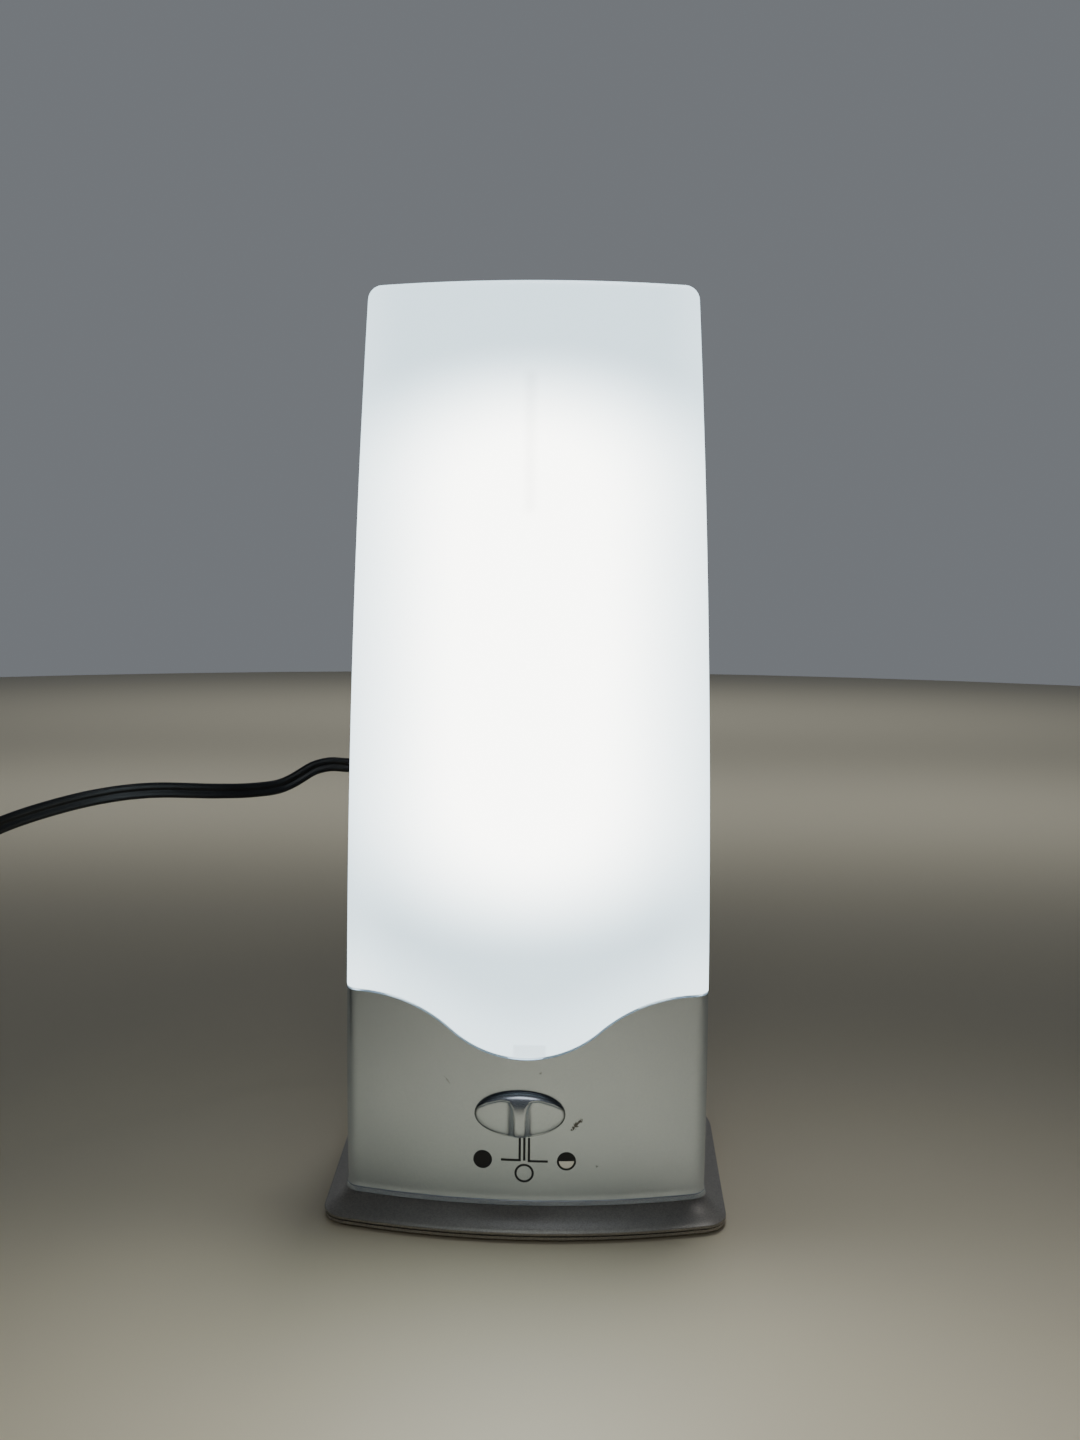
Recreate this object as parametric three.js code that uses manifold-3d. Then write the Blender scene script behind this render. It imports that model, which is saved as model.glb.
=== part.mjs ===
// A table lamp for light therapy: a tall bowed housing on a flared foot, with a white snap-on lens
// over a flat four-legged fluorescent tube, a slide switch with three places, and a flat mains cord.
// Millimetres, +Z up, the lens faces -Y, and the origin is on the table under the middle of the foot.
import * as THREE from "three";
import { mergeVertices } from "three/addons/utils/BufferGeometryUtils.js";
import Module from "manifold-3d";

const wasm = await Module();
wasm.setup();

// Foot: a thin plate under a moulded cover whose top sweeps up to the housing
const baseDepth = 133;
const baseFrontWidth = 169.2;
const baseSpread = 5.5; // each side lies this much further out at the rear than at the front
const baseBow = 340; // radius of the bowed front edge
const baseFrontCorner = 11;
const baseRearCorner = 38;
const padProud = 1.3; // the rubber pads hold the plate this far off the table
const basePlateThickness = 1.2;
const shadowLine = 0.4; // open line between two mouldings
const rimHeight = 1.3;
const flareRise = 4.1;
const frontSetback = 14; // from the foot's front edge back to the housing's front

// Housing
const lampHeight = 389.5;
const bodyWidth = 154.6;
const bodyTopWidth = 135.6;
const widestHeight = 52;
const bodyDepth = 98;
const rearTaper = 26; // the rear wall comes this far forward at the top
const frontLean = 19.2; // the top of the front lies this far behind its bottom
const frontBulge = 3;
const frontBow = 322; // radius of the bowed front, seen from above
const frontCorner = 7;
const rearCorner = 30;
const roofRound = 6;
const shellWall = 2.2;
const splitDepth = 30; // from the front back to the line between lens or panel and rear housing
const footThickness = 1.5;
const footLip = 0.8;

// Line between lens and panel: flat at the sides, dipping in two tangent arcs to a round tip
const seamHeight = 96.6;
const seamDip = 25.4;
const seamShoulder = 69;
const seamTipRadius = 48;

// Clearances
const fit = 0.3; // between pieces that touch on the real lamp
const overrun = 4; // how far a cutter runs past what it cuts
const weld = 0.0003; // corners nearer than this are one

// Fasteners
const screwRadius = 1.5;
const screwHeadRadius = 3;
const screwHeadHeight = 1.1;
const bossRadius = 4.4;
const screwBiteShare = 0.6; // of the boss that the screw runs into

// Cord: a flat two-core lead
const cordWidth = 7.8;
const cordThickness = 3.9;

// Heights and places that follow from the sizes above
const plateTop = padProud + basePlateThickness;
const coverBottom = plateTop + shadowLine;
const rimTop = coverBottom + rimHeight;
const coverTop = rimTop + flareRise;
const footBottom = coverTop + fit;
const bodyFoot = footBottom + footThickness + fit;
const bodyHeight = lampHeight - bodyFoot;
const baseFront = -baseDepth / 2;
const panelFront = baseFront + frontSetback;
const leanSlope = frontLean / bodyHeight;

// Steps along the curved outlines
const frontSteps = 10;
const cornerSteps = 3;
const rearSteps = 5;
const heightSteps = 8;
const roundSteps = 3;
const flareSteps = 4;
const roundSides = 12;

function finish(color, roughness, metalness) {
  return new THREE.MeshStandardMaterial({ color, roughness, metalness });
}
const whiteLens = finish(0xf4f7ff, 0.35, 0);
const silverPaint = finish(0x8a8a84, 0.45, 0.3);
const graphitePaint = finish(0x34343a, 0.42, 0.3);
const blackRubber = finish(0x17171a, 0.8, 0);
const plainSteel = finish(0x9a9ca0, 0.4, 1);
const whiteEnamel = finish(0xf2f2ee, 0.3, 0);
const tubeGlass = finish(0xfafaff, 0.2, 0);
const whitePlastic = finish(0xe4e2da, 0.5, 0);
const blackPlastic = finish(0x1c1c1f, 0.5, 0);
const boardGreen = finish(0x2f5d3a, 0.6, 0);
const copperRed = finish(0x9c4a22, 0.4, 0.6);
const capBlue = finish(0x1f2c4c, 0.4, 0);
const cordVinyl = finish(0x141416, 0.5, 0);
const brass = finish(0xc9a24a, 0.35, 1);

// Closed geometry to solid and back
function solid(geometry) {
  const bare = new THREE.BufferGeometry();
  bare.setAttribute("position", geometry.getAttribute("position"));
  if (geometry.index) {
    bare.setIndex(geometry.index);
  }
  const merged = mergeVertices(bare, weld);
  const { array } = merged.attributes.position;
  const triVerts = new Uint32Array(merged.index.array);
  return new wasm.Manifold(new wasm.Mesh({ numProp: 3, vertProperties: array, triVerts }));
}

function surface(shape) {
  const { numVert, numProp, vertProperties, triVerts } = shape.getMesh();
  const positions = new Float32Array(numVert * 3);
  for (let i = 0; i < numVert; i++) {
    positions.set(vertProperties.subarray(i * numProp, i * numProp + 3), i * 3);
  }
  const geometry = new THREE.BufferGeometry();
  geometry.setAttribute("position", new THREE.BufferAttribute(positions, 3));
  geometry.setIndex(new THREE.BufferAttribute(triVerts, 1));
  geometry.computeVertexNormals();
  return geometry;
}

function join(...shapes) {
  return shapes.reduce((sum, next) => sum.add(next));
}

function cut(shape, ...cutters) {
  return cutters.reduce((left, next) => left.subtract(next), shape);
}

const lamp = new THREE.Group();
function place(parent, name, shape, material) {
  const mesh = new THREE.Mesh(shape.isBufferGeometry ? shape : surface(shape), material);
  mesh.name = name;
  parent.add(mesh);
  return mesh;
}

// Simple solids, each placed by its own centre or end
function box(width, depth, height, x, y, z) {
  return solid(new THREE.BoxGeometry(width, depth, height).translate(x, y, z));
}

function postUp(radius, bottom, top, x, y) {
  const geometry = new THREE.CylinderGeometry(radius, radius, top - bottom, roundSides);
  geometry.rotateX(Math.PI / 2).translate(x, y, (bottom + top) / 2);
  return solid(geometry);
}

function postBack(radius, front, rear, x, z) {
  const geometry = new THREE.CylinderGeometry(radius, radius, rear - front, roundSides);
  return solid(geometry.translate(x, (front + rear) / 2, z));
}

// An outline of [across, up] points made into a prism that runs from front to rear
function prismBack(outline, front, rear) {
  const shape = new THREE.Shape(outline.map(([across, up]) => new THREE.Vector2(across, up)));
  const geometry = new THREE.ExtrudeGeometry(shape, { depth: rear - front, bevelEnabled: false });
  geometry.rotateX(Math.PI / 2).translate(0, rear, 0);
  return solid(geometry);
}

// An outline of [back, up] points made into a prism across the lamp
function prismAcross(outline, halfWidth) {
  const shape = new THREE.Shape(outline.map(([back, up]) => new THREE.Vector2(back, up)));
  const geometry = new THREE.ExtrudeGeometry(shape, { depth: 2 * halfWidth, bevelEnabled: false });
  geometry.translate(0, 0, -halfWidth).rotateX(Math.PI / 2).rotateZ(Math.PI / 2);
  return solid(geometry);
}

// An outline of [across, back] points made into a prism that stands from bottom to top
function prismUp(outline, bottom, top) {
  const shape = new THREE.Shape(outline.map(([across, back]) => new THREE.Vector2(across, back)));
  const geometry = new THREE.ExtrudeGeometry(shape, { depth: top - bottom, bevelEnabled: false });
  return solid(geometry.translate(0, 0, bottom));
}

// A turned solid from [radius, along] points that start and end on the axis, standing on +Z
function turned(profile, sides = roundSides) {
  const points = profile.map(([radius, along]) => new THREE.Vector2(radius, along));
  return solid(new THREE.LatheGeometry(points, sides).rotateX(Math.PI / 2));
}

// Rings of equally many points, bottom ring first, skinned and capped
function loft(rings) {
  const count = rings[0].length;
  const positions = [];
  const indices = [];
  rings.forEach((ring) => ring.forEach((point) => positions.push(...point)));
  for (let k = 0; k + 1 < rings.length; k++) {
    for (let i = 0; i < count; i++) {
      const a = k * count + i;
      const b = k * count + ((i + 1) % count);
      indices.push(a, b, b + count, a, b + count, a + count);
    }
  }
  const addCap = (ring, first, turn) => {
    const middle = [0, 1, 2].map((axis) => ring.reduce((sum, p) => sum + p[axis], 0) / count);
    const centre = positions.length / 3;
    positions.push(...middle);
    for (let i = 0; i < count; i++) {
      const a = first + i;
      const b = first + ((i + 1) % count);
      indices.push(...(turn ? [b, a, centre] : [a, b, centre]));
    }
  };
  addCap(rings[0], 0, true);
  addCap(rings[rings.length - 1], (rings.length - 1) * count, false);
  const geometry = new THREE.BufferGeometry();
  geometry.setAttribute("position", new THREE.BufferAttribute(new Float32Array(positions), 3));
  geometry.setIndex(indices);
  return solid(geometry);
}

// Outline seen from above: bowed front, small front corners, round rear corners.
// An inset moves every side in by the same amount.
function planOutline({ halfWidth, front, rear, bow, nearCorner, farCorner, inset = 0 }) {
  const near = Math.max(nearCorner - inset, fit);
  const far = farCorner - inset;
  const radius = bow - inset;
  const side = halfWidth - inset;
  const back = rear - inset;
  const centre = front + bow;
  const reach = Math.asin((side - near) / (radius - near));
  const cornerX = (radius - near) * Math.sin(reach);
  const cornerY = centre - (radius - near) * Math.cos(reach);
  const points = [];
  for (let i = 0; i <= frontSteps; i++) {
    const turn = reach * ((2 * i) / frontSteps - 1);
    points.push([radius * Math.sin(turn), centre - radius * Math.cos(turn)]);
  }
  for (let i = 1; i <= cornerSteps; i++) {
    const turn = (reach - Math.PI / 2) * (1 - i / cornerSteps);
    points.push([cornerX + near * Math.cos(turn), cornerY + near * Math.sin(turn)]);
  }
  for (const hand of [1, -1]) {
    for (let i = 0; i <= rearSteps; i++) {
      const share = hand > 0 ? i / rearSteps : 1 - i / rearSteps;
      const turn = (Math.PI / 2) * share;
      points.push([hand * (side - far + far * Math.cos(turn)), back - far + far * Math.sin(turn)]);
    }
  }
  for (let i = 0; i < cornerSteps; i++) {
    const turn = Math.PI + (Math.PI / 2 - reach) * (i / cornerSteps);
    points.push([-cornerX + near * Math.cos(turn), cornerY + near * Math.sin(turn)]);
  }
  return points;
}

// The housing's form at a height
const climb = (z) => (z - bodyFoot) / bodyHeight;
const halfWidthAt = (z) =>
  (bodyWidth - (bodyWidth - bodyTopWidth) * ((z - widestHeight) / (lampHeight - widestHeight)) ** 2) / 2;
const frontAt = (z) => panelFront + frontLean * climb(z) - 4 * frontBulge * climb(z) * (1 - climb(z));
const rearAt = (z) => panelFront + bodyDepth - rearTaper * Math.max(climb(z), 0) ** 2;

function bodyRing(shapeHeight, height, inset) {
  const front = frontAt(shapeHeight);
  const outline = planOutline({
    halfWidth: halfWidthAt(shapeHeight),
    front,
    rear: rearAt(shapeHeight),
    bow: frontBow,
    nearCorner: frontCorner,
    farCorner: rearCorner,
    inset,
  });
  const tilt = leanSlope * climb(shapeHeight);
  return outline.map(([x, y]) => [x, y, height - tilt * (y - front)]);
}

// The whole housing as one solid, its walls and roof moved in by the inset
function bodySolid(inset, bottom) {
  const rings = [];
  const shoulder = lampHeight - roofRound;
  for (let i = 0; i <= heightSteps; i++) {
    const height = bottom + ((shoulder - bottom) * i) / heightSteps;
    rings.push(bodyRing(height, height, inset));
  }
  const radius = roofRound - inset;
  for (let i = 1; i <= roundSteps; i++) {
    const turn = (Math.PI / 2) * (i / roundSteps);
    const rise = radius * Math.sin(turn);
    rings.push(bodyRing(shoulder, shoulder + rise, inset + radius * (1 - Math.cos(turn))));
  }
  return loft(rings);
}

// All of the housing's width in front of, or behind, a surface at a depth from the front
function depthZone(depth, behind) {
  const far = behind ? panelFront + bodyDepth + overrun : baseFront - frontLean;
  const outline = [];
  for (let i = 0; i <= heightSteps; i++) {
    const height = bodyFoot + (bodyHeight * i) / heightSteps;
    outline.push([frontAt(height) + depth, height]);
  }
  const low = bodyFoot - overrun;
  const high = lampHeight + overrun;
  outline.unshift([outline[0][0], low]);
  outline.push([outline[outline.length - 1][0], high]);
  outline.push([far, high]);
  outline.push([far, low]);
  if (!behind) {
    outline.reverse();
  }
  return prismAcross(outline.reverse(), bodyWidth);
}

// Everything above, or below, the line between lens and panel
function seamZone(above, shift) {
  const span = (seamShoulder ** 2 + seamDip ** 2) / (2 * seamDip);
  const upperRadius = span - seamTipRadius;
  const reach = Math.asin(seamShoulder / span);
  const steps = 8;
  const half = [];
  for (let i = 0; i <= steps; i++) {
    const turn = (reach * i) / steps;
    const rise = seamTipRadius * (1 - Math.cos(turn));
    half.push([seamTipRadius * Math.sin(turn), seamHeight - seamDip + rise]);
  }
  for (let i = 1; i <= steps; i++) {
    const turn = reach * (1 - i / steps);
    half.push([seamShoulder - upperRadius * Math.sin(turn), seamHeight - upperRadius * (1 - Math.cos(turn))]);
  }
  const right = half.map(([x, z]) => [x, z + shift]);
  const left = right.slice(1).map(([x, z]) => [-x, z]).reverse();
  const line = [[-bodyWidth, seamHeight + shift], ...left, ...right, [bodyWidth, seamHeight + shift]];
  const far = above ? lampHeight + overrun : bodyFoot - overrun;
  const outline = [...line, [bodyWidth, far], [-bodyWidth, far]];
  return prismBack(outline, baseFront - frontLean, panelFront + bodyDepth + overrun);
}

const outerBody = bodySolid(0, bodyFoot);
const innerBody = bodySolid(shellWall, bodyFoot - overrun);
const bodyShell = cut(outerBody, innerBody);
// Bosses and ribs are trimmed to this, so they root in the middle of the wall
const rootingBody = bodySolid(shellWall / 2, bodyFoot);

// Screws and their holes, with the head's outer face at the origin and the shank along +Z
function screwProfile(length, gap, countersunk) {
  const head = screwHeadRadius + gap;
  const shank = screwRadius + gap;
  const neck = countersunk ? screwHeadHeight + gap : screwHeadHeight;
  const foot = countersunk ? [head, 0] : [head, screwHeadHeight];
  return [[0, 0], [head, 0], foot, [shank, neck], [shank, length + gap], [0, length + gap]];
}

function flatScrew(length, gap = 0) {
  const profile = screwProfile(length, gap, true).filter((point, i) => i !== 2);
  return turned(profile);
}

function panScrew(length) {
  return turned(screwProfile(length, 0, false));
}

// Foot

function baseOutline(inset) {
  const outline = planOutline({
    halfWidth: baseFrontWidth / 2,
    front: baseFront,
    rear: -baseFront,
    bow: baseBow,
    nearCorner: baseFrontCorner,
    farCorner: baseRearCorner,
    inset,
  });
  const spread = (2 * baseSpread) / baseFrontWidth;
  return outline.map(([x, y]) => [x * (1 + (spread * (y - baseFront)) / baseDepth), y]);
}

const pocketWall = 4;
const pocketRoof = 2;
const weightThickness = 3;
const screwAcross = 62;
const frontScrewDepth = 18; // behind the housing's front
const rearScrewDepth = 72;
const footBossHeight = 14;
const footScrewPlaces = [];
for (const side of [-1, 1]) {
  footScrewPlaces.push([side * screwAcross, panelFront + frontScrewDepth]);
  footScrewPlaces.push([side * screwAcross, panelFront + rearScrewDepth]);
}
const footScrewLength = bodyFoot - padProud + footBossHeight * screwBiteShare;

function footHoles(gapRadius) {
  return footScrewPlaces.map(([x, y]) => postUp(gapRadius, -overrun, bodyFoot + footBossHeight, x, y));
}

const padRadius = 6.5;
const padInset = 17; // from the foot's sides to the middle of a pad
const padRecess = 0.6; // the pads sit this deep in the plate
const padPlaces = [];
for (const y of [-1, 1]) {
  for (const x of [-1, 1]) {
    padPlaces.push([x * (baseFrontWidth / 2 - padInset), y * (baseDepth / 2 - padInset)]);
  }
}

function ringAt(outline, z) {
  return outline.map(([x, y]) => [x, y, z]);
}

function makeBase() {
  const rim = baseOutline(0);
  const foot = bodyRing(bodyFoot, 0, -footLip);
  const rings = [ringAt(rim, coverBottom), ringAt(rim, rimTop)];
  for (let i = 1; i <= flareSteps; i++) {
    const share = i / flareSteps;
    const z = rimTop + flareRise * share ** 2;
    rings.push(rim.map(([x, y], k) => [x + (foot[k][0] - x) * share, y + (foot[k][1] - y) * share, z]));
  }
  const pocketOutline = bodyRing(bodyFoot, 0, pocketWall);
  const pocketTop = coverTop - pocketRoof;
  const pocket = loft([ringAt(pocketOutline, coverBottom - overrun), ringAt(pocketOutline, pocketTop)]);
  const posts = footScrewPlaces.map(([x, y]) => postUp(bossRadius, coverBottom, pocketTop + fit, x, y));
  const holes = footHoles(screwRadius + fit);
  place(lamp, "base_cover", cut(join(cut(loft(rings), pocket), ...posts), ...holes), graphitePaint);

  const weightOutline = bodyRing(bodyFoot, 0, pocketWall + 2 * fit);
  const weightBottom = plateTop + fit;
  const weightTop = weightBottom + weightThickness;
  const weight = loft([ringAt(weightOutline, weightBottom), ringAt(weightOutline, weightTop)]);
  place(lamp, "base_weight", cut(weight, ...footHoles(bossRadius + fit)), plainSteel);

  const plate = loft([ringAt(rim, padProud), ringAt(rim, plateTop)]);
  const sinks = footScrewPlaces.map(([x, y]) => flatScrew(footScrewLength, fit).translate(x, y, padProud));
  const recesses = padPlaces.map(([x, y]) => postUp(padRadius + fit, 0, padProud + padRecess, x, y));
  place(lamp, "base_plate", cut(plate, ...sinks, ...recesses), graphitePaint);
  padPlaces.forEach(([x, y], i) => {
    place(lamp, `foot_pad_${i + 1}`, postUp(padRadius, 0, padProud + padRecess - fit, x, y), blackRubber);
  });

  footScrewPlaces.forEach(([x, y], i) => {
    place(lamp, `base_screw_${i + 1}`, flatScrew(footScrewLength).translate(x, y, padProud), plainSteel);
  });
}

// Housing: foot plate, panel, lens and rear shell

function makeFootPlate() {
  const outline = bodyRing(bodyFoot, 0, -footLip);
  const plate = loft([ringAt(outline, footBottom), ringAt(outline, footBottom + footThickness)]);
  place(lamp, "foot_plate", cut(plate, ...footHoles(screwRadius + fit)), silverPaint);
}

// A boss on the floor of the housing, with a rib to the side wall
function footBoss(x, y) {
  const top = bodyFoot + footBossHeight;
  const side = Math.sign(x) * (bodyWidth / 2);
  const rib = box(Math.abs(side - x), bossRadius, footBossHeight, (side + x) / 2, y, (bodyFoot + top) / 2);
  return join(postUp(bossRadius, bodyFoot, top, x, y), rib).intersect(rootingBody);
}

const frontShell = bodyShell.intersect(depthZone(splitDepth - shadowLine / 2, false));
const rearShell = bodyShell.intersect(depthZone(splitDepth + shadowLine / 2, true));
const screwClearance = footHoles(screwRadius + fit);
const splitMiddle = panelFront + splitDepth;

// Slide switch, behind the panel
const switchHeight = 48;
const switchTravel = 1.95; // from one detent to the next
const switchWidth = 26;
const switchDepth = 9;
const switchTall = 12;
const switchStandoff = 5; // from the panel's inner face to the switch
const earWidth = 8;
const earThickness = 1.6;
const stemWidth = 3;
const stemTall = 5;
const switchEarAcross = switchWidth / 2 + earWidth / 2;
const switchFace = frontAt(switchHeight) + shellWall + switchStandoff;
const slotWidth = stemWidth + 2 * (switchTravel + fit);

const tongueWidth = 13.7;
const tongueThickness = 1.8;
const tongueRoot = 6;
const tongueReach = 7;
const hookAcross = 34;
const hookWidth = 12;
const hookReach = 5;

function makePanel() {
  const below = seamZone(false, -shadowLine / 2);
  const shell = frontShell.intersect(below);
  const bosses = footScrewPlaces.filter(([, y]) => y < splitMiddle).map(([x, y]) => footBoss(x, y));
  const front = frontAt(switchHeight);
  const postRadius = bossRadius / 2 + screwRadius;
  const postRear = switchFace - fit;
  const posts = [-1, 1].map((side) =>
    postBack(postRadius, front, postRear, side * switchEarAcross, switchHeight).intersect(rootingBody),
  );
  const slot = box(slotWidth, 2 * overrun, stemTall + 2 * fit, 0, front, switchHeight);
  const pilotEnd = switchFace + overrun;
  const pilots = [-1, 1].map((side) =>
    postBack(screwRadius + fit, front + shellWall, pilotEnd, side * switchEarAcross, switchHeight),
  );
  const panel = cut(join(shell, ...bosses, ...posts), ...screwClearance, slot, ...pilots);
  place(lamp, "front_panel", panel, silverPaint);
}

// The lens carries a tongue behind the panel's tip and two hooks under the rear shell's roof
function makeLens() {
  const shell = frontShell.intersect(seamZone(true, shadowLine / 2));
  const tip = seamHeight - seamDip;
  const inner = frontAt(tip) + shellWall;
  const rootDepth = tongueThickness + 2 * fit;
  const rootHeight = tip + 2 * fit + tongueRoot / 2;
  const root = box(tongueWidth, rootDepth, tongueRoot, 0, inner + tongueThickness / 2, rootHeight);
  const tall = tongueRoot + tongueReach;
  const tongueMiddle = tip + tongueRoot - tall / 2;
  const tongue = box(tongueWidth, tongueThickness, tall, 0, inner + rootDepth / 2, tongueMiddle);
  const hooks = [-1, 1].map((side) => {
    const rear = frontAt(lampHeight) + splitDepth;
    const roof = lampHeight - shellWall - leanSlope * (splitDepth + hookReach);
    const x = side * hookAcross;
    const arm = box(hookWidth, 2 * hookReach, shellWall, x, rear, roof - shellWall / 2 - 3 * fit);
    const foot = box(hookWidth, hookReach - fit, 2 * shellWall, x, rear - hookReach / 2 - fit, roof);
    return join(arm, foot.intersect(rootingBody));
  });
  place(lamp, "front_lens", join(shell, root, tongue, ...hooks), whiteLens);
}

// Light box: what leans back with the front, placed by its own group
const lightBox = new THREE.Group();
lightBox.position.set(0, panelFront, bodyFoot);
lightBox.rotation.x = -Math.atan(leanSlope);
lightBox.updateMatrix();
lamp.add(lightBox);

const tubeRadius = 8.5;
const tubeDepth = 26; // from the front's chord back to the tubes' middle
const legInner = 12.5;
const legOuter = 34;
const lampBaseHeight = 12;
const lampBaseDepth = 22;
const holderHeight = 15;
const holderDepth = 24;
const shelfHeight = 90;
const sheet = 1.2; // thickness of the reflector
const reflectorGap = 4; // from the legs to the reflector
const pinRadius = 1.2;
const pinLength = 7;
const pinAcross = 9;
const reflectorHalf = 47;
const reflectorWing = 13;
const reflectorDrop = 17.1; // from the roof down to the reflector's top
const tubeDrop = 18; // from the reflector's top down to the tube's
const reflectorTop = bodyHeight - reflectorDrop; // heights here are above the foot, along the lean
const tubeTop = reflectorTop - tubeDrop;
const reflectorDepth = tubeDepth + tubeRadius + reflectorGap;
const holderBottom = shelfHeight + sheet + fit;
const holderTop = holderBottom + holderHeight;
const lampBaseBottom = holderTop + fit;
const tubeBottom = lampBaseBottom + lampBaseHeight;
const holderHalf = legOuter + tubeRadius;

// The tube's middle line: up, over, down, across, up, over and down, as [across, up] points
function tubePath(end) {
  const bend = (legOuter - legInner) / 2;
  const pairMiddle = (legOuter + legInner) / 2;
  const top = tubeTop - tubeRadius - bend;
  const low = tubeBottom + fit + tubeRadius + legInner;
  const arc = (middle, height, radius, way) => {
    const points = [];
    for (let i = 0; i <= bendSteps; i++) {
      const turn = Math.PI * (1 - i / bendSteps);
      points.push([middle + radius * Math.cos(turn), height + way * radius * Math.sin(turn)]);
    }
    return points;
  };
  return [
    [-legOuter, end],
    ...arc(-pairMiddle, top, bend, 1),
    ...arc(0, low, legInner, -1),
    ...arc(pairMiddle, top, bend, 1),
    [legOuter, end],
  ];
}

function roundedOutline(halfWidth, halfDepth, radius, middleDepth) {
  const points = [];
  const steps = 3;
  for (let corner = 0; corner < 4; corner++) {
    const x = (corner === 0 || corner === 3 ? 1 : -1) * (halfWidth - radius);
    const y = (corner < 2 ? 1 : -1) * (halfDepth - radius);
    for (let i = 0; i <= steps; i++) {
      const turn = (Math.PI / 2) * (corner + i / steps);
      points.push([x + radius * Math.cos(turn), middleDepth + y + radius * Math.sin(turn)]);
    }
  }
  return points;
}

function circleShape(radius, sides) {
  const shape = new THREE.Shape();
  for (let i = 0; i < sides; i++) {
    const turn = (2 * Math.PI * i) / sides;
    if (i === 0) {
      shape.moveTo(radius, 0);
    } else {
      shape.lineTo(radius * Math.cos(turn), radius * Math.sin(turn));
    }
  }
  shape.closePath();
  return shape;
}

const tubeSides = 10;
const bendSteps = 8;
const pinShares = [-3, -1, 1, 3];
const tubeWall = 1;
function tubeSolid(radius, end) {
  const path = tubePath(end);
  const last = path.length - 1;
  const rings = path.map(([x, z], i) => {
    const [fromX, fromZ] = path[Math.max(i - 1, 0)];
    const [toX, toZ] = path[Math.min(i + 1, last)];
    const stretch = Math.hypot(toX - fromX, toZ - fromZ);
    const ring = [];
    for (let k = 0; k < tubeSides; k++) {
      const turn = (2 * Math.PI * k) / tubeSides;
      const out = (radius * Math.cos(turn)) / stretch;
      ring.push([x + out * (toZ - fromZ), tubeDepth + radius * Math.sin(turn), z - out * (toX - fromX)]);
    }
    return ring;
  });
  return loft(rings);
}

function makeTube() {
  const bottom = tubeBottom + fit;
  const glass = cut(tubeSolid(tubeRadius, bottom), tubeSolid(tubeRadius - tubeWall, bottom - overrun));
  place(lightBox, "fluorescent_tube", glass, tubeGlass);

  const pins = [];
  const sockets = [];
  for (const x of pinShares) {
    const low = lampBaseBottom - pinLength;
    pins.push(postUp(pinRadius, low, lampBaseBottom + fit, x * pinAcross, tubeDepth));
    sockets.push(postUp(pinRadius + fit, low - 2 * fit, holderTop + fit, x * pinAcross, tubeDepth));
  }
  const cornerRound = lampBaseDepth / 4;
  const capOutline = roundedOutline(holderHalf, lampBaseDepth / 2, cornerRound, tubeDepth);
  place(lightBox, "lamp_base", join(prismUp(capOutline, lampBaseBottom, tubeBottom), ...pins), whitePlastic);

  const holderOutline = roundedOutline(holderHalf, holderDepth / 2, cornerRound, tubeDepth);
  const holder = cut(prismUp(holderOutline, holderBottom, holderTop), ...sockets);
  place(lightBox, "lampholder", holder, whitePlastic);
}

const reflectorScrewAcross = 43;
const reflectorScrewInset = 32; // from the reflector's ends
const reflectorScrewHeights = [shelfHeight + reflectorScrewInset, reflectorTop - reflectorScrewInset];
const reflectorScrewLength = 9;
const reflectorScrewPlaces = [];
for (const height of reflectorScrewHeights) {
  for (const side of [-1, 1]) {
    reflectorScrewPlaces.push([side * reflectorScrewAcross, height]);
  }
}

function makeReflector() {
  const rear = reflectorDepth + sheet;
  const wingTip = reflectorHalf + reflectorWing;
  const wingDepth = splitDepth + 2 * fit;
  const outline = [
    [-wingTip, wingDepth],
    [-reflectorHalf, reflectorDepth],
    [reflectorHalf, reflectorDepth],
    [wingTip, wingDepth],
    [wingTip, wingDepth + sheet],
    [reflectorHalf, rear],
    [-reflectorHalf, rear],
    [-wingTip, wingDepth + sheet],
  ];
  const back = prismUp(outline, shelfHeight, reflectorTop);
  const shelfFront = tubeDepth - holderDepth / 2;
  const shelfDepth = rear - shelfFront;
  const shelfMiddle = shelfFront + shelfDepth / 2;
  const shelf = box(2 * holderHalf, shelfDepth, sheet, 0, shelfMiddle, shelfHeight + sheet / 2);
  const holes = reflectorScrewPlaces.map(([x, z]) =>
    postBack(screwRadius + fit, reflectorDepth - overrun, rear + overrun, x, z),
  );
  const holeTop = shelfHeight + sheet + fit / 2;
  const leadHole = postUp(leadRadius + 3 * fit, shelfHeight - overrun, holeTop, lampLeadAcross, tubeDepth);
  place(lightBox, "reflector", cut(join(back, shelf), leadHole, ...holes), whiteEnamel);
  reflectorScrewPlaces.forEach(([x, z], i) => {
    const screw = panScrew(reflectorScrewLength).rotate([-90, 0, 0]);
    const face = reflectorDepth - fit - screwHeadHeight;
    place(lightBox, `reflector_screw_${i + 1}`, screw.translate(x, face, z), plainSteel);
  });
}

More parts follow.
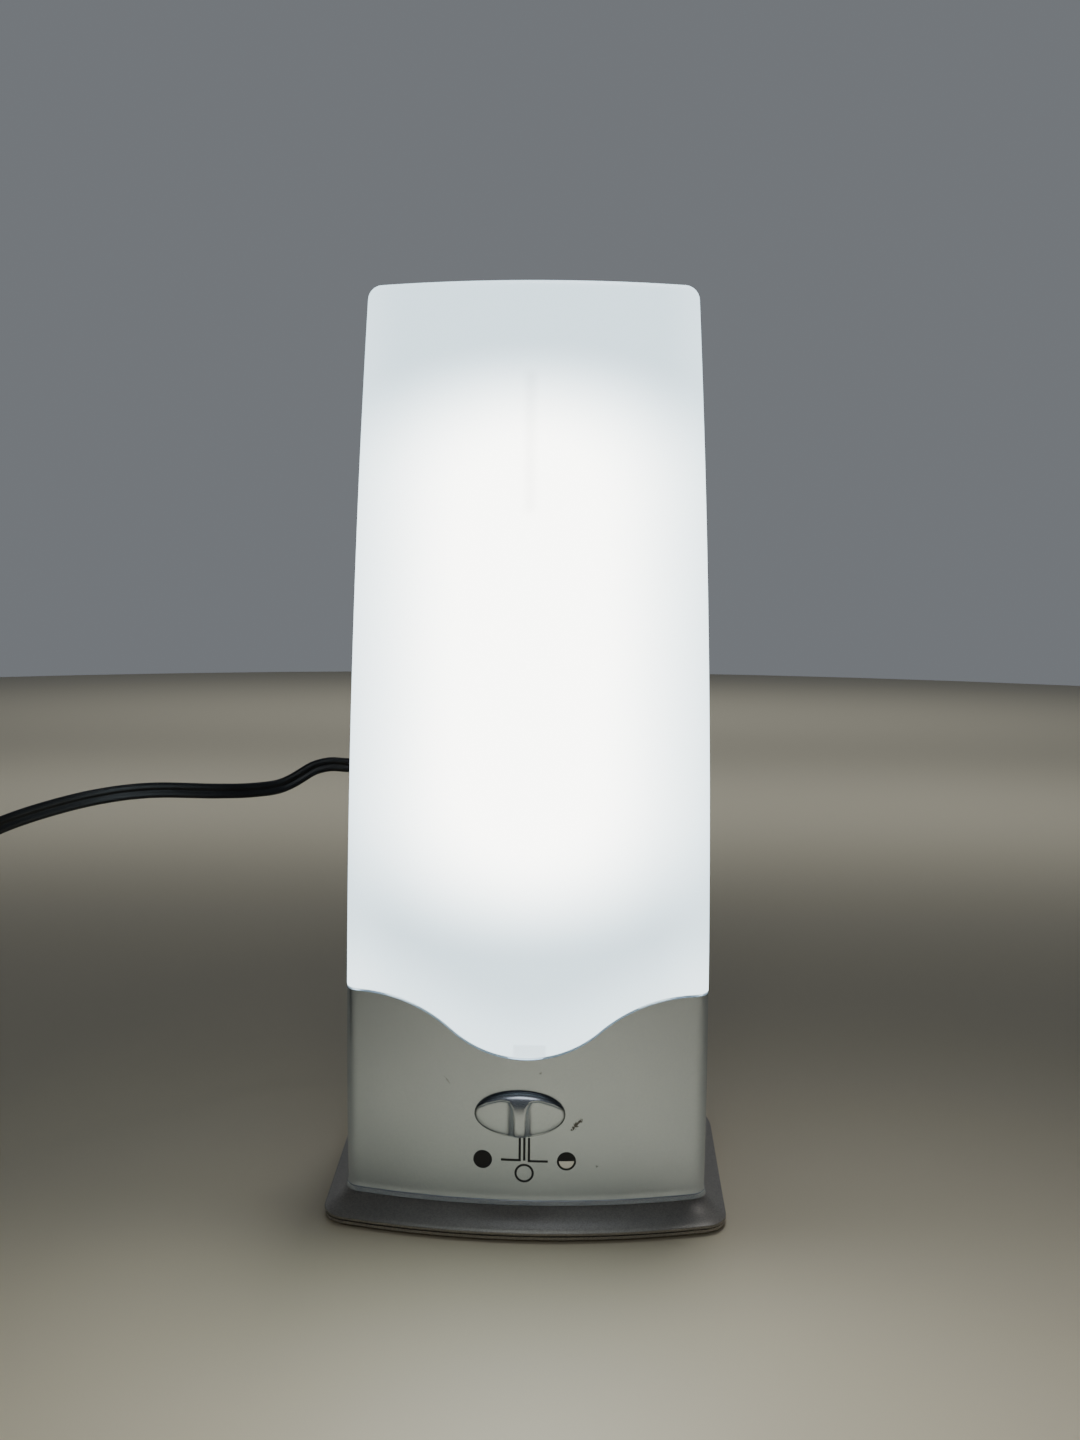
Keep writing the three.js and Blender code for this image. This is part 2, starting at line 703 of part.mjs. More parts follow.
// Spring clips that hold each pair of legs to the reflector
const clipThickness = 0.8;
const clipTall = 10;
const clipDrop = 74; // from the tube's top
const clipHeight = tubeTop - clipDrop;
function makeClip(side, index) {
  const middle = (side * (legOuter + legInner)) / 2;
  const rear = reflectorDepth - fit;
  const half = (legOuter - legInner) / 2 + tubeRadius + fit;
  const width = 2 * (half + clipThickness);
  const strap = box(width, clipThickness, clipTall, middle, rear - clipThickness / 2, clipHeight);
  const fingers = [-1, 1].map((hand) => {
    const tall = rear - tubeDepth;
    const x = middle + hand * (half + clipThickness / 2);
    const straight = box(clipThickness, tall, clipTall, x, rear - tall / 2, clipHeight);
    const lipReach = 3 * clipThickness;
    const lip = [
      [x + (hand * clipThickness) / 2, tubeDepth],
      [x - (hand * clipThickness) / 2, tubeDepth],
      [x + hand * lipReach, tubeDepth - lipReach],
      [x + hand * (lipReach + clipThickness), tubeDepth - lipReach],
    ];
    const flareOutline = hand > 0 ? lip.reverse() : lip;
    return join(straight, prismUp(flareOutline, clipHeight - clipTall / 2, clipHeight + clipTall / 2));
  });
  place(lightBox, `lamp_clip_${index}`, join(strap, ...fingers), plainSteel);
}

// Ballast on the rear wall
const boardWidth = 108;
const boardTall = 68;
const boardThickness = 1.6;
const boardBottom = 20;
const boardGap = 13; // from the board's back to the rear wall's inner face
const boardScrewInset = 5;
const boardScrewLength = 8;
const boardMiddle = boardBottom + boardTall / 2;
const boardBack = panelFront + bodyDepth - shellWall - boardGap;
const boardFront = boardBack - boardThickness;
const boardScrewPlaces = [];
for (const x of [-1, 1]) {
  for (const z of [-1, 1]) {
    boardScrewPlaces.push([
      x * (boardWidth / 2 - boardScrewInset),
      boardMiddle + z * (boardTall / 2 - boardScrewInset),
    ]);
  }
}

const boardRow = boardTall / 5;
const boardColumn = boardWidth / 6;
const terminalWidth = 18;
const terminalDepth = 11;
const terminalTall = 9;
const terminalAcross = -2 * boardColumn;
const heatSinkWidth = 30;
const heatSinkDepth = 4;
const heatSinkTall = 22;
const heatSinkAcross = 1.6 * boardColumn;
const capacitorSizes = [[8, 26], [5.5, 18]]; // radius and length
const capacitorPlaces = [-2 * boardColumn, -boardColumn];
const coreWidth = 26;
const coreTall = 22;
const coreDepth = 18;
const coreAcross = boardColumn / 2;
const windowShare = 0.6; // of the core's width
const windowDepthShare = 0.5;
const windingShare = 0.7; // of the core's height
const lampLeadAcross = 20;
const seatMiddle = (depth) => boardFront - fit - depth / 2;

const cordExitAcross = -25;
const cordExitHeight = 169;
const glandRadius = 6.2;
const glandFlange = 8.4;
const flangeThickness = 2;
const bootLength = 26;
const bootEnd = 4.4;
const exitWall = rearAt(cordExitHeight);
const exitSlope = (rearAt(cordExitHeight - overrun) - rearAt(cordExitHeight + overrun)) / (2 * overrun);
const gland = new THREE.Group();
gland.position.set(cordExitAcross, exitWall, cordExitHeight);
gland.rotation.x = Math.atan(exitSlope);
gland.updateMatrix();
lamp.add(gland);

const ventTall = 3;
const ventPitch = 7;
const ventCount = 6;
const ventWidth = 60;
const ventDrop = 127.5; // from the roof to the lowest slot of the upper group
const ventBelowCord = 57;
const ventHeights = [lampHeight - ventDrop, cordExitHeight - ventBelowCord]; // the lowest slot of each group
const ventMiddles = [];
for (const low of ventHeights) {
  for (let i = 0; i < ventCount; i++) {
    ventMiddles.push(low + ventPitch * i);
  }
}

function makeRearHousing() {
  const bosses = footScrewPlaces.filter(([, y]) => y > splitMiddle).map(([x, y]) => footBoss(x, y));
  const far = panelFront + bodyDepth + overrun;
  const boardPosts = boardScrewPlaces.map(([x, z]) => postBack(bossRadius, boardBack + fit, far, x, z));
  const boardPilots = boardScrewPlaces.map(([x, z]) =>
    postBack(screwRadius + fit, boardBack - overrun, boardBack + boardScrewLength, x, z),
  );
  const reach = bodyDepth - reflectorDepth;
  const behind = reflectorDepth + sheet + fit;
  const lean = lightBox.matrix;
  const leanPost = (radius, start, length, x, z) => {
    const geometry = new THREE.CylinderGeometry(radius, radius, length, roundSides);
    return solid(geometry.translate(x, start + length / 2, z).applyMatrix4(lean));
  };
  const reflectorPosts = reflectorScrewPlaces.map(([x, z]) => leanPost(bossRadius, behind, reach, x, z));
  const pilotLength = reflectorScrewLength + overrun;
  const pilots = reflectorScrewPlaces.map(([x, z]) =>
    leanPost(screwRadius + fit, behind - overrun, pilotLength, x, z),
  );
  const posts = [...boardPosts, ...reflectorPosts].map((post) => post.intersect(rootingBody));
  const vents = ventMiddles.map((z) => box(ventWidth, rearTaper * 2, ventTall, 0, rearAt(z), z));
  const hole = new THREE.CylinderGeometry(glandRadius + fit, glandRadius + fit, 4 * overrun, roundSides);
  const exit = solid(hole.applyMatrix4(gland.matrix));
  const shell = cut(rearShell, ...vents, exit);
  const housing = cut(join(shell, ...bosses, ...posts), ...screwClearance, ...boardPilots, ...pilots);
  place(lamp, "rear_housing", housing, silverPaint);
}

function makeBallast() {
  const board = box(boardWidth, boardThickness, boardTall, 0, boardBack - boardThickness / 2, boardMiddle);
  const holes = boardScrewPlaces.map(([x, z]) =>
    postBack(screwRadius + fit, boardFront - overrun, boardBack + overrun, x, z),
  );
  place(lamp, "ballast_board", cut(board, ...holes), boardGreen);
  const headFace = boardFront - fit - screwHeadHeight;
  boardScrewPlaces.forEach(([x, z], i) => {
    const screw = panScrew(boardScrewLength).rotate([-90, 0, 0]);
    place(lamp, `board_screw_${i + 1}`, screw.translate(x, headFace, z), plainSteel);
  });
  const block = (name, width, depth, tall, x, z, material) =>
    place(lamp, name, box(width, depth, tall, x, seatMiddle(depth), z), material);
  const lowRow = boardMiddle - boardRow;
  capacitorSizes.forEach(([radius, length], i) => {
    const can = postBack(radius, seatMiddle(2 * length), boardFront - fit, capacitorPlaces[i], lowRow);
    place(lamp, `ballast_capacitor_${i + 1}`, can, capBlue);
  });
  block("heat_sink", heatSinkWidth, heatSinkDepth, heatSinkTall, heatSinkAcross, lowRow, plainSteel);
  const highRow = boardMiddle + boardRow;
  block("terminal_block", terminalWidth, terminalDepth, terminalTall, terminalAcross, highRow, whitePlastic);

  const x = coreAcross;
  const z = highRow;
  const y = seatMiddle(coreDepth);
  const windowWidth = coreWidth * windowShare;
  const windowDepth = coreDepth * windowDepthShare;
  const window = box(windowWidth, windowDepth, coreTall + overrun, x, y, z);
  place(lamp, "inductor_core", cut(box(coreWidth, coreDepth, coreTall, x, y, z), window), blackPlastic);
  const winding = box(windowWidth - 2 * fit, windowDepth - 2 * fit, coreTall * windingShare, x, y, z);
  place(lamp, "inductor_winding", winding, copperRed);
}

function makeSwitch() {
  const rear = switchFace + switchDepth;
  const body = box(switchWidth, switchDepth, switchTall, 0, switchFace + switchDepth / 2, switchHeight);
  const earsWidth = 2 * switchEarAcross + earWidth;
  const earsMiddle = switchFace + earThickness / 2;
  const ears = box(earsWidth, earThickness, switchTall / 2, 0, earsMiddle, switchHeight);
  const track = box(slotWidth, switchDepth, stemTall + 2 * fit, 0, switchFace, switchHeight);
  const holes = [-1, 1].map((side) =>
    postBack(screwRadius + fit, switchFace - overrun, rear, side * switchEarAcross, switchHeight),
  );
  place(lamp, "switch_body", cut(join(body, ears), track, ...holes), blackPlastic);
  const headFace = switchFace + earThickness + fit + screwHeadHeight;
  [-1, 1].forEach((side, i) => {
    const screw = panScrew(earThickness + switchStandoff - fit).rotate([90, 0, 0]);
    const seated = screw.translate(side * switchEarAcross, headFace, switchHeight);
    place(lamp, `switch_screw_${i + 1}`, seated, plainSteel);
  });
}

// The cap rides over the panel: an oval dome with two flat scoops that leave a ridge in the middle
const capHalfWidth = 19;
const capHalfTall = 9.8;
const capProud = 4.2;
const capGap = 0.5;
const scoopFloor = 1.6; // the scoops' floor stands this far off the panel
const ridgeHalf = 1.8;
const capSides = 24;
const scoopTopShares = [[1.1, 0.12], [0.72, 0.5], [0.42, 0.66], [0.24, 0.62], [0.15, 0.35]];
const scoopOutShare = 1.1; // the scoops run out past the oval at the side and below
const ridgeTopShare = 0.2;
const stemReachShare = 0.3; // of the switch's depth
function makeCap() {
  const front = frontAt(switchHeight);
  const stand = capProud + capGap;
  const dome = new THREE.SphereGeometry(1, capSides, capSides / 2);
  dome.scale(capHalfWidth, stand, capHalfTall).translate(0, front, switchHeight);
  const low = switchHeight - scoopOutShare * capHalfTall;
  const scoops = [-1, 1].map((side) => {
    const outline = scoopTopShares.map(([x, z]) => [side * x * capHalfWidth, switchHeight + z * capHalfTall]);
    outline.push([side * ridgeHalf, switchHeight - ridgeTopShare * capHalfTall]);
    outline.push([side * ridgeHalf, low]);
    outline.push([side * scoopOutShare * capHalfWidth, low]);
    return prismBack(side > 0 ? outline.reverse() : outline, front - 2 * stand, front - scoopFloor);
  });
  const stemLength = shellWall + switchStandoff + switchDepth * stemReachShare;
  const stem = box(stemWidth, stemLength, stemTall, 0, front - fit - capGap + stemLength / 2, switchHeight);
  const cap = join(cut(solid(dome), bodySolid(-capGap, bodyFoot), ...scoops), stem);
  place(lamp, "switch_cap", cap.translate(-switchTravel, 0, 0), silverPaint);
}

// Strain relief: two flanges grip the rear wall, and a tapered boot follows the cord outwards
function makeGland() {
  const inside = -shellWall - fit;
  const outside = fit + flangeThickness;
  const profile = [
    [0, inside - flangeThickness],
    [glandFlange, inside - flangeThickness],
    [glandFlange, inside],
    [glandRadius, inside],
    [glandRadius, fit],
    [glandFlange, fit],
    [glandFlange, outside],
    [glandRadius, outside + fit],
    [bootEnd, outside + bootLength],
    [0, outside + bootLength],
  ];
  place(gland, "strain_relief", turned(profile).rotate([-90, 0, 0]), blackRubber);
}

// Leads inside the housing: each leaves one end and reaches the other squarely
const leadRadius = 2.2;
const leadSides = 8;
const leadSteps = 14;
const leadReach = 26;
const lampLeadStart = 28;
const switchLeadEnd = 5;
function makeLead(name, start, leave, arrive, end) {
  const from = new THREE.Vector3(...start);
  const to = new THREE.Vector3(...end);
  const first = from.clone().addScaledVector(new THREE.Vector3(...leave), leadReach);
  const second = to.clone().addScaledVector(new THREE.Vector3(...arrive), leadReach);
  const path = new THREE.CubicBezierCurve3(from, first, second, to);
  const options = { steps: leadSteps, bevelEnabled: false, extrudePath: path };
  const geometry = new THREE.ExtrudeGeometry(circleShape(leadRadius, leadSides), options);
  place(lamp, name, solid(geometry), cordVinyl);
}

function makeLeads() {
  const forward = [0, -1, 0];
  const back = [0, 1, 0];
  const up = [0, 0, 1];
  const down = [0, 0, -1];
  const inside = exitWall - shellWall - flangeThickness - 3 * fit;
  const block = seatMiddle(terminalDepth);
  const blockTop = boardMiddle + boardRow + terminalTall / 2 + fit;
  const mainsStart = [cordExitAcross, inside, cordExitHeight];
  makeLead("mains_lead", mainsStart, forward, up, [terminalAcross, block, blockTop]);
  const holder = new THREE.Vector3(lampLeadAcross, tubeDepth, holderBottom - fit);
  holder.applyMatrix4(lightBox.matrix);
  const boardFace = boardFront - fit;
  const leadRow = boardMiddle + 2 * boardRow - leadRadius;
  const lampStart = [lampLeadStart, boardFace, leadRow];
  makeLead("lamp_lead", lampStart, forward, down, [lampLeadAcross, holder.y, holder.z]);
  const switchRear = switchFace + switchDepth + fit;
  const lowRow = boardMiddle - boardRow;
  makeLead("switch_lead", [0, switchRear, switchHeight], back, forward, [switchLeadEnd, boardFace, lowRow]);
}

// The free cord keeps its broad side upright; near the strain relief it is twisted
const cordSides = 8;
const cordTwist = 0.85; // radians at the strain relief
const twistEndShare = 0.42;
function uprightFrames(tangents, twistAt) {
  const up = new THREE.Vector3(0, 0, 1);
  return tangents.map((tangent, i) => {
    const normal = new THREE.Vector3().crossVectors(up, tangent).normalize();
    normal.applyAxisAngle(tangent, twistAt(i / (tangents.length - 1)));
    return { normal, binormal: new THREE.Vector3().crossVectors(tangent, normal) };
  });
}

function flatShape() {
  const shape = new THREE.Shape();
  for (let i = 0; i < cordSides; i++) {
    const turn = (2 * Math.PI * (i + 1 / 2)) / cordSides;
    const grow = 1 / Math.cos(Math.PI / cordSides);
    const x = (cordThickness / 2) * Math.cos(turn) * grow;
    const y = (cordWidth / 2) * Math.sin(turn) * grow;
    if (i === 0) {
      shape.moveTo(x, y);
    } else {
      shape.lineTo(x, y);
    }
  }
  shape.closePath();
  return shape;
}

function cordTube(name, points, steps, twistAt) {
  const path = new THREE.CatmullRomCurve3(points.map((p) => new THREE.Vector3(...p)), false, "centripetal");
  path.arcLengthDivisions = 1000;
  const tangents = [];
  for (let i = 0; i <= steps; i++) {
    tangents.push(path.getTangentAt(i / steps));
  }
  const frames = uprightFrames(tangents, twistAt);
  const normals = frames.map((frame) => frame.normal);
  const binormals = frames.map((frame) => frame.binormal);
  path.computeFrenetFrames = () => ({ tangents, normals, binormals });
  const options = { steps, bevelEnabled: false, extrudePath: path };
  place(lamp, name, solid(new THREE.ExtrudeGeometry(flatShape(), options)), cordVinyl);
  return path.getLength();
}

// The coil: two layers that spiral in and out again clockwise, its broad side upright
const coilX = -336;
const coilY = -34;
const coilMean = 39;
const coilTurns = 5.375;
const coilStart = -Math.PI / 4;
const turnSteps = 24;
const coilSides = 6;
const turnGap = 0.8;
const layerGap = 0.7;
const tieThickness = 0.6;
const tieWidth = 8;
const tieSlack = 0.4;
const turnPitch = cordThickness + turnGap;
const layerPitch = cordWidth + layerGap;
const coilOuter = coilMean + (turnPitch * coilTurns) / 4;
const coilLow = tieThickness + tieSlack + cordWidth / 2;

function coilPoint(turn) {
  const radius = coilOuter - turnPitch * Math.min(turn, coilTurns - turn);
  const angle = coilStart - 2 * Math.PI * turn;
  const share = Math.min(Math.max((turn - coilTurns / 2) * 2 + 1 / 2, 0), 1);
  const z = coilLow + layerPitch * share * share * (3 - 2 * share);
  return new THREE.Vector3(coilX + radius * Math.cos(angle), coilY + radius * Math.sin(angle), z);
}

function coilPoints() {
  const steps = Math.round(coilTurns * turnSteps);
  const points = [];
  for (let i = 0; i <= steps; i++) {
    points.push(coilPoint((coilTurns * i) / steps));
  }
  const startWay = new THREE.Vector3(Math.sin(coilStart), -Math.cos(coilStart), 0);
  const endTurn = coilStart - 2 * Math.PI * coilTurns;
  const endWay = new THREE.Vector3(Math.sin(endTurn), -Math.cos(endTurn), 0);
  points.unshift(points[0].clone().addScaledVector(startWay, -cordWidth));
  points.push(points[points.length - 1].clone().addScaledVector(endWay, cordWidth));
  return points;
}

function makeCoil() {
  const points = coilPoints();
  const last = points.length - 1;
  const tangents = points.map((p, i) =>
    new THREE.Vector3().subVectors(points[Math.min(i + 1, last)], points[Math.max(i - 1, 0)]).normalize(),
  );
  tangents[0].z = 0;
  const frames = uprightFrames(tangents, () => 0);
  const thin = cordThickness / 2 / Math.cos(Math.PI / coilSides);
  const rings = points.map((point, i) => {
    const ring = [];
    for (let k = 0; k < coilSides; k++) {
      const turn = (2 * Math.PI * (k + 1 / 2)) / coilSides;
      const spot = point.clone();
      spot.addScaledVector(frames[i].normal, thin * Math.cos(turn));
      spot.addScaledVector(frames[i].binormal, (cordWidth / 2) * Math.sin(turn));
      ring.push(spot.toArray());
    }
    return ring;
  });
  let least = Infinity;
  rings.forEach((ring, i) => {
    for (let j = i + turnSteps / 2; j < rings.length; j++) {
      for (const a of ring) {
        for (const b of rings[j]) {
          least = Math.min(least, Math.hypot(a[0] - b[0], a[1] - b[1], a[2] - b[2]));
        }
      }
    }
  });
  console.log(`cord coil: least gap to itself ${least.toFixed(2)} mm`);
  place(lamp, "cord_coil", loft(rings), cordVinyl);
  let length = 0;
  for (let i = 1; i < points.length; i++) {
    length += points[i].distanceTo(points[i - 1]);
  }

  const band = coilOuter - coilMean + cordThickness / 2 + tieSlack;
  const tall = cordWidth + layerPitch + 2 * tieSlack;
  const middle = coilLow - cordWidth / 2 - tieSlack + tall / 2;
  const y = coilY + coilMean;
  const outer = box(tieWidth, 2 * (band + tieThickness), tall + 2 * tieThickness, coilX, y, middle);
  const inner = box(2 * tieWidth, 2 * band, tall, coilX, y, middle);
  place(lamp, "cord_tie", cut(outer, inner), blackRubber);
  return length;
}

// The free stretch, from near the strain relief to the coil
const cordRoute = [
  [-29.4, 90.5, 172],
  [-41.5, 101.6, 172],
  [-58, 106, 171.6],
  [-82, 107, 170],
  [-104.6, 105.5, 169.4],
  [-115, 103, 170.2],
  [-123.1, 99.5, 168.4],
  [-127.9, 96.5, 165.6],
  [-133.2, 93, 162.4],
  [-139.5, 88.5, 160],
  [-151.7, 78.5, 159.6],
  [-165.5, 65.5, 161.3],
  [-191.4, 42.5, 165.4],
  [-208.8, 25.5, 165.3],
  [-225.3, 9.5, 162.4],
  [-240.8, -6.5, 157.5],
  [-250.8, -16.1, 151.9],
  [-258.8, -23.8, 143.3],
  [-265, -29.8, 132.2],
  [-268.9, -33.6, 119.2],
  [-270.2, -34.8, 105.3],
  [-270.6, -35.2, 85],
  [-271, -35.6, 64],
  [-271.6, -36.2, 46],
  [-272.9, -37.5, 33.1],
  [-275.6, -40.1, 23.9],
  [-280, -44.3, 16],
  [-285.5, -49.6, 10.2],
  [-289.5, -53.5, 7.3],
];
const cordSteps = 64;
const plugLeadSteps = 14;

// The last stretch, from the coil to the plug
const plugRise = 7.5;
const plugLeadRoute = [
  [0, 6, 13.1],
  [-0.1, 13, 11.2],
  [-0.2, 21, 8],
  [-0.2, 29, 6],
  [-0.1, 37, 6],
];
const plugLeadLength = 48;

const plugHalfWidth = 9.5;
const plugHalfTall = 7.3;
const plugLength = 40;
const plugNeckLength = 15;
const plugNeck = 4.8;
const plugRound = 3.5;
const plugNeckShares = [[1, 1, 0], [1.2, 1.1, 0.8]]; // of the neck's width, height and length
const plugNeckRound = 2.9;
const plugSwellShare = 1.2; // of the neck: where the plug reaches its full width
const bladeLength = 16;
const bladeTall = 6.3;
const bladeThickness = 1.5;
const bladeSpacing = 12.7;
const bladeSeat = 6;

function makeCord() {
  const coil = coilPoints();
  const start = coil[0];
  const away = coil[1].clone().sub(coil[0]).normalize();
  const end = coil[coil.length - 1];
  const onward = end.clone().sub(coil[coil.length - 2]).setZ(0).normalize();
  const boot = fit + flangeThickness + bootLength;
  const bootWay = [boot + fit, boot + cordWidth].map((along) => new THREE.Vector3(0, along, 0));
  const route = [...bootWay.map((point) => point.applyMatrix4(gland.matrix).toArray()), ...cordRoute];
  for (const back of [fit + cordWidth / 2, fit]) {
    route.push(start.clone().addScaledVector(away, -back).toArray());
  }
  const lead = cordTube("cord_lead", route, cordSteps, (share) =>
    cordTwist * Math.max(0, 1 - share / twistEndShare),
  );
  const coiled = makeCoil();
  const plugEnd = [end.x, end.y + plugLeadLength, plugRise];
  const plugStraight = [end.x, plugEnd[1] - cordWidth / 2, plugRise];
  const tail = plugLeadRoute.map(([x, y, z]) => [end.x + x, end.y + y, z]);
  const tailRoute = [end.clone().addScaledVector(onward, fit).toArray(), ...tail, plugStraight, plugEnd];
  const lastStretch = cordTube("cord_plug_lead", tailRoute, plugLeadSteps, () => 0);
  console.log(`cord: ${(lead + coiled + lastStretch).toFixed(0)} mm`);
  makePlug(end.x, plugEnd[1] + fit);
}

function makePlug(x, y) {
  const ring = (halfWidth, halfTall, round, along) =>
    roundedOutline(halfWidth, halfTall, round, 0).map(([across, up]) => [across, up, along]);
  const body = loft([
    ...plugNeckShares.map(([x, z, along]) =>
      ring(plugNeck * x, plugNeck * z, plugNeckRound, plugNeckLength * along),
    ),
    ring(plugHalfWidth, plugHalfTall, plugRound, plugNeckLength * plugSwellShare),
    ring(plugHalfWidth, plugHalfTall, plugRound, plugLength - plugRound / 2),
    ring(plugHalfWidth - plugRound / 2, plugHalfTall - plugRound / 2, plugRound / 2, plugLength),
  ]);
  const turnedBody = body.rotate([-90, 0, 0]).translate(x, y, plugRise);
  const face = y + plugLength;
  const seatWidth = bladeThickness + 2 * fit;
  const seats = [-1, 1].map((side) =>
    box(seatWidth, 2 * bladeSeat, bladeTall + 2 * fit, x + (side * bladeSpacing) / 2, face, plugRise),
  );
  place(lamp, "plug_body", cut(turnedBody, ...seats), cordVinyl);
  [-1, 1].forEach((side, i) => {
    const whole = bladeLength + bladeSeat - fit;
    const middle = face - bladeSeat + fit + whole / 2;
    const blade = box(bladeThickness, whole, bladeTall, x + (side * bladeSpacing) / 2, middle, plugRise);
    place(lamp, `plug_blade_${i + 1}`, blade, brass);
  });
}

makeBase();
makeFootPlate();
makePanel();
makeLens();
makeTube();
makeReflector();
makeClip(-1, 1);
makeClip(1, 2);
makeRearHousing();
makeBallast();
makeSwitch();
makeCap();
makeGland();
makeLeads();
makeCord();

export default lamp;
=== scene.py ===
import math

import bpy
import numpy as np
from mathutils import Matrix, Vector


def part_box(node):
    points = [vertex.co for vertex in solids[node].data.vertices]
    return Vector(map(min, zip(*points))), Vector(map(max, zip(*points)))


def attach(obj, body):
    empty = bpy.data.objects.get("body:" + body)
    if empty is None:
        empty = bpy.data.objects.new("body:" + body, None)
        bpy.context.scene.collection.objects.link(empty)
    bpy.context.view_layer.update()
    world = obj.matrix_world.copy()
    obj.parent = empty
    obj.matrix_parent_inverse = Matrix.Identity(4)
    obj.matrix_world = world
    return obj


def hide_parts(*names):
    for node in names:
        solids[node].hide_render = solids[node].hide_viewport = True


# A lit table lamp for light therapy. Shapes are worked out in millimetres and stored in metres.
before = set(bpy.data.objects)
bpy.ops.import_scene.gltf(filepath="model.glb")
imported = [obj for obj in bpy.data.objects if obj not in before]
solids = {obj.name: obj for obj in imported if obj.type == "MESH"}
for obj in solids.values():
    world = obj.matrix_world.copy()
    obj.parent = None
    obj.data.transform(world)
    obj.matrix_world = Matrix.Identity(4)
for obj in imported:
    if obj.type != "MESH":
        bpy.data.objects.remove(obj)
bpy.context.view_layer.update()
scene = bpy.context.scene
scene.view_settings.view_transform = "AgX"  # rolls off the lit lens as a camera does
mm = 0.001
print("frame:", len(solids), "solids")

photoView = {
    "position": (17.95, -481.6, 261.8),
    "right": (0.99949203, 0.0308106, 0.00814853),
    "up": (-0.01153744, 0.11146714, 0.99370114),
    "forward": (-0.02970824, 0.99329038, -0.11176599),
    "lens": 27.05,
    "nearest": 0.02,
}


def addCamera(view):
    data = bpy.data.cameras.new("photoCamera")
    data.lens = view["lens"]
    data.clip_start = view["nearest"]
    camera = bpy.data.objects.new("photoCamera", data)
    turned = Matrix((view["right"], view["up"], [-part for part in view["forward"]])).transposed()
    camera.matrix_world = Matrix.Translation(Vector(view["position"]) * mm) @ turned.to_4x4()
    scene.collection.objects.link(camera)
    scene.camera = camera


addCamera(photoView)


# Colours and shader nodes
def fromHex(code):
    shares = [int(code[i:i + 2], 16) / 255 for i in (0, 2, 4)]
    return [s / 12.92 if s <= 0.04045 else ((s + 0.055) / 1.055) ** 2.4 for s in shares] + [1.0]


def addNode(material, kind, settings, links=()):
    tree = material.node_tree
    node = tree.nodes.new("ShaderNode" + kind)
    for key, value in settings.items():
        if isinstance(key, int) or key in node.inputs:
            node.inputs[key].default_value = value
        else:
            setattr(node, key, value)
    for key, source in dict(links).items():
        tree.links.new(source, node.inputs[key])
    return node


# A chain of nodes: each step is named, and later steps link to it by that name
def addSteps(material, known, steps):
    for name, kind, settings, links in steps:
        sources = {socket: known[source] for socket, source in links.items()}
        known[name] = addNode(material, kind, settings, sources).outputs[0]


def plug(material, source, socket):
    shader = material.node_tree.nodes["Principled BSDF"]
    material.node_tree.links.new(source, shader.inputs[socket])


noiseRange = {"From Min": 0.3, "From Max": 0.7}  # nearly all of a noise texture lies between these


# Every finish starts here: a cloudy change of colour, and a grain that moves gloss and relief
def startFinish(name, look):
    material = bpy.data.materials.new(name)
    material.use_nodes = True
    shader = material.node_tree.nodes["Principled BSDF"]
    for socket, value in look["shader"].items():
        shader.inputs[socket].default_value = value
    place = addNode(material, "TexCoord", {}).outputs["Object"]
    cloudy = {"Scale": 1 / (look["cloudSize"] * mm), "Detail": 3.0}
    grainy = {"Scale": 1 / (look["grainSize"] * mm), "Detail": 2.0}
    cloud = addNode(material, "TexNoise", cloudy, {"Vector": place}).outputs[0]
    grain = addNode(material, "TexNoise", grainy, {"Vector": place}).outputs[0]
    spread = addNode(material, "MapRange", noiseRange, {"Value": cloud})
    tones = {"data_type": "RGBA", 6: fromHex(look["dark"]), 7: fromHex(look["light"])}
    colour = addNode(material, "Mix", tones, {0: spread.outputs[0]}).outputs[2]
    shader.inputs["Roughness"].default_value = look["smooth"]
    if look["rough"] > look["smooth"]:
        gloss = {**noiseRange, "To Min": look["smooth"], "To Max": look["rough"]}
        plug(material, addNode(material, "MapRange", gloss, {"Value": grain}).outputs[0], "Roughness")
    relief = {"Strength": look["relief"], "Distance": look["depth"] * mm}
    bump = addNode(material, "Bump", relief, {"Height": grain})
    plug(material, colour, "Base Color")
    plug(material, bump.outputs[0], "Normal")
    return material, place, colour


# Small sums
def unit(rows):
    return rows / np.maximum(np.linalg.norm(rows, axis=1), 1e-12)[:, None]


def eased(share):
    share = min(max(share, 0), 1)
    return share * share * (3 - 2 * share)


def circle(sides, shift=0):
    turns = [2 * math.pi * (i + shift) / sides for i in range(sides)]
    return [(math.cos(turn), math.sin(turn)) for turn in turns]


# Meshes: a shape is its points and its faces
def faceNormals(points, faces):
    corners = np.array([face if len(face) == 4 else [*face, face[-1]] for face in faces])
    across = points[corners[:, 2]] - points[corners[:, 0]]
    return np.cross(across, points[corners[:, 3]] - points[corners[:, 1]]) / 2, corners


def vertexNormals(points, faces):
    normals, corners = faceNormals(points, faces)
    total = np.zeros_like(points)
    for k in range(4):
        np.add.at(total, corners[:, k], normals)
    return unit(total)


def weld(points, faces):
    points = np.asarray(points, float)
    _, first, spot = np.unique(np.round(points, 4), axis=0, return_index=True, return_inverse=True)
    spot = spot.reshape(-1)
    rings = []
    for face in faces:
        ring = [int(spot[k]) for k in face]
        ring = [k for n, k in enumerate(ring) if k != ring[n - 1]]
        if len(set(ring)) > 2:
            rings.append(ring)
    used = sorted({k for ring in rings for k in ring})
    fresh = {old: new for new, old in enumerate(used)}
    return points[first][used], [[fresh[k] for k in ring] for ring in rings]


def combine(*shapes):
    points = []
    faces = []
    for some, rings in shapes:
        faces += [[k + len(points) for k in ring] for ring in rings]
        points += [list(p) for p in some]
    return np.array(points, float), faces


def volumeOf(points, faces):
    normals, corners = faceNormals(points, faces)
    return float((points[corners].mean(axis=1) * normals).sum())


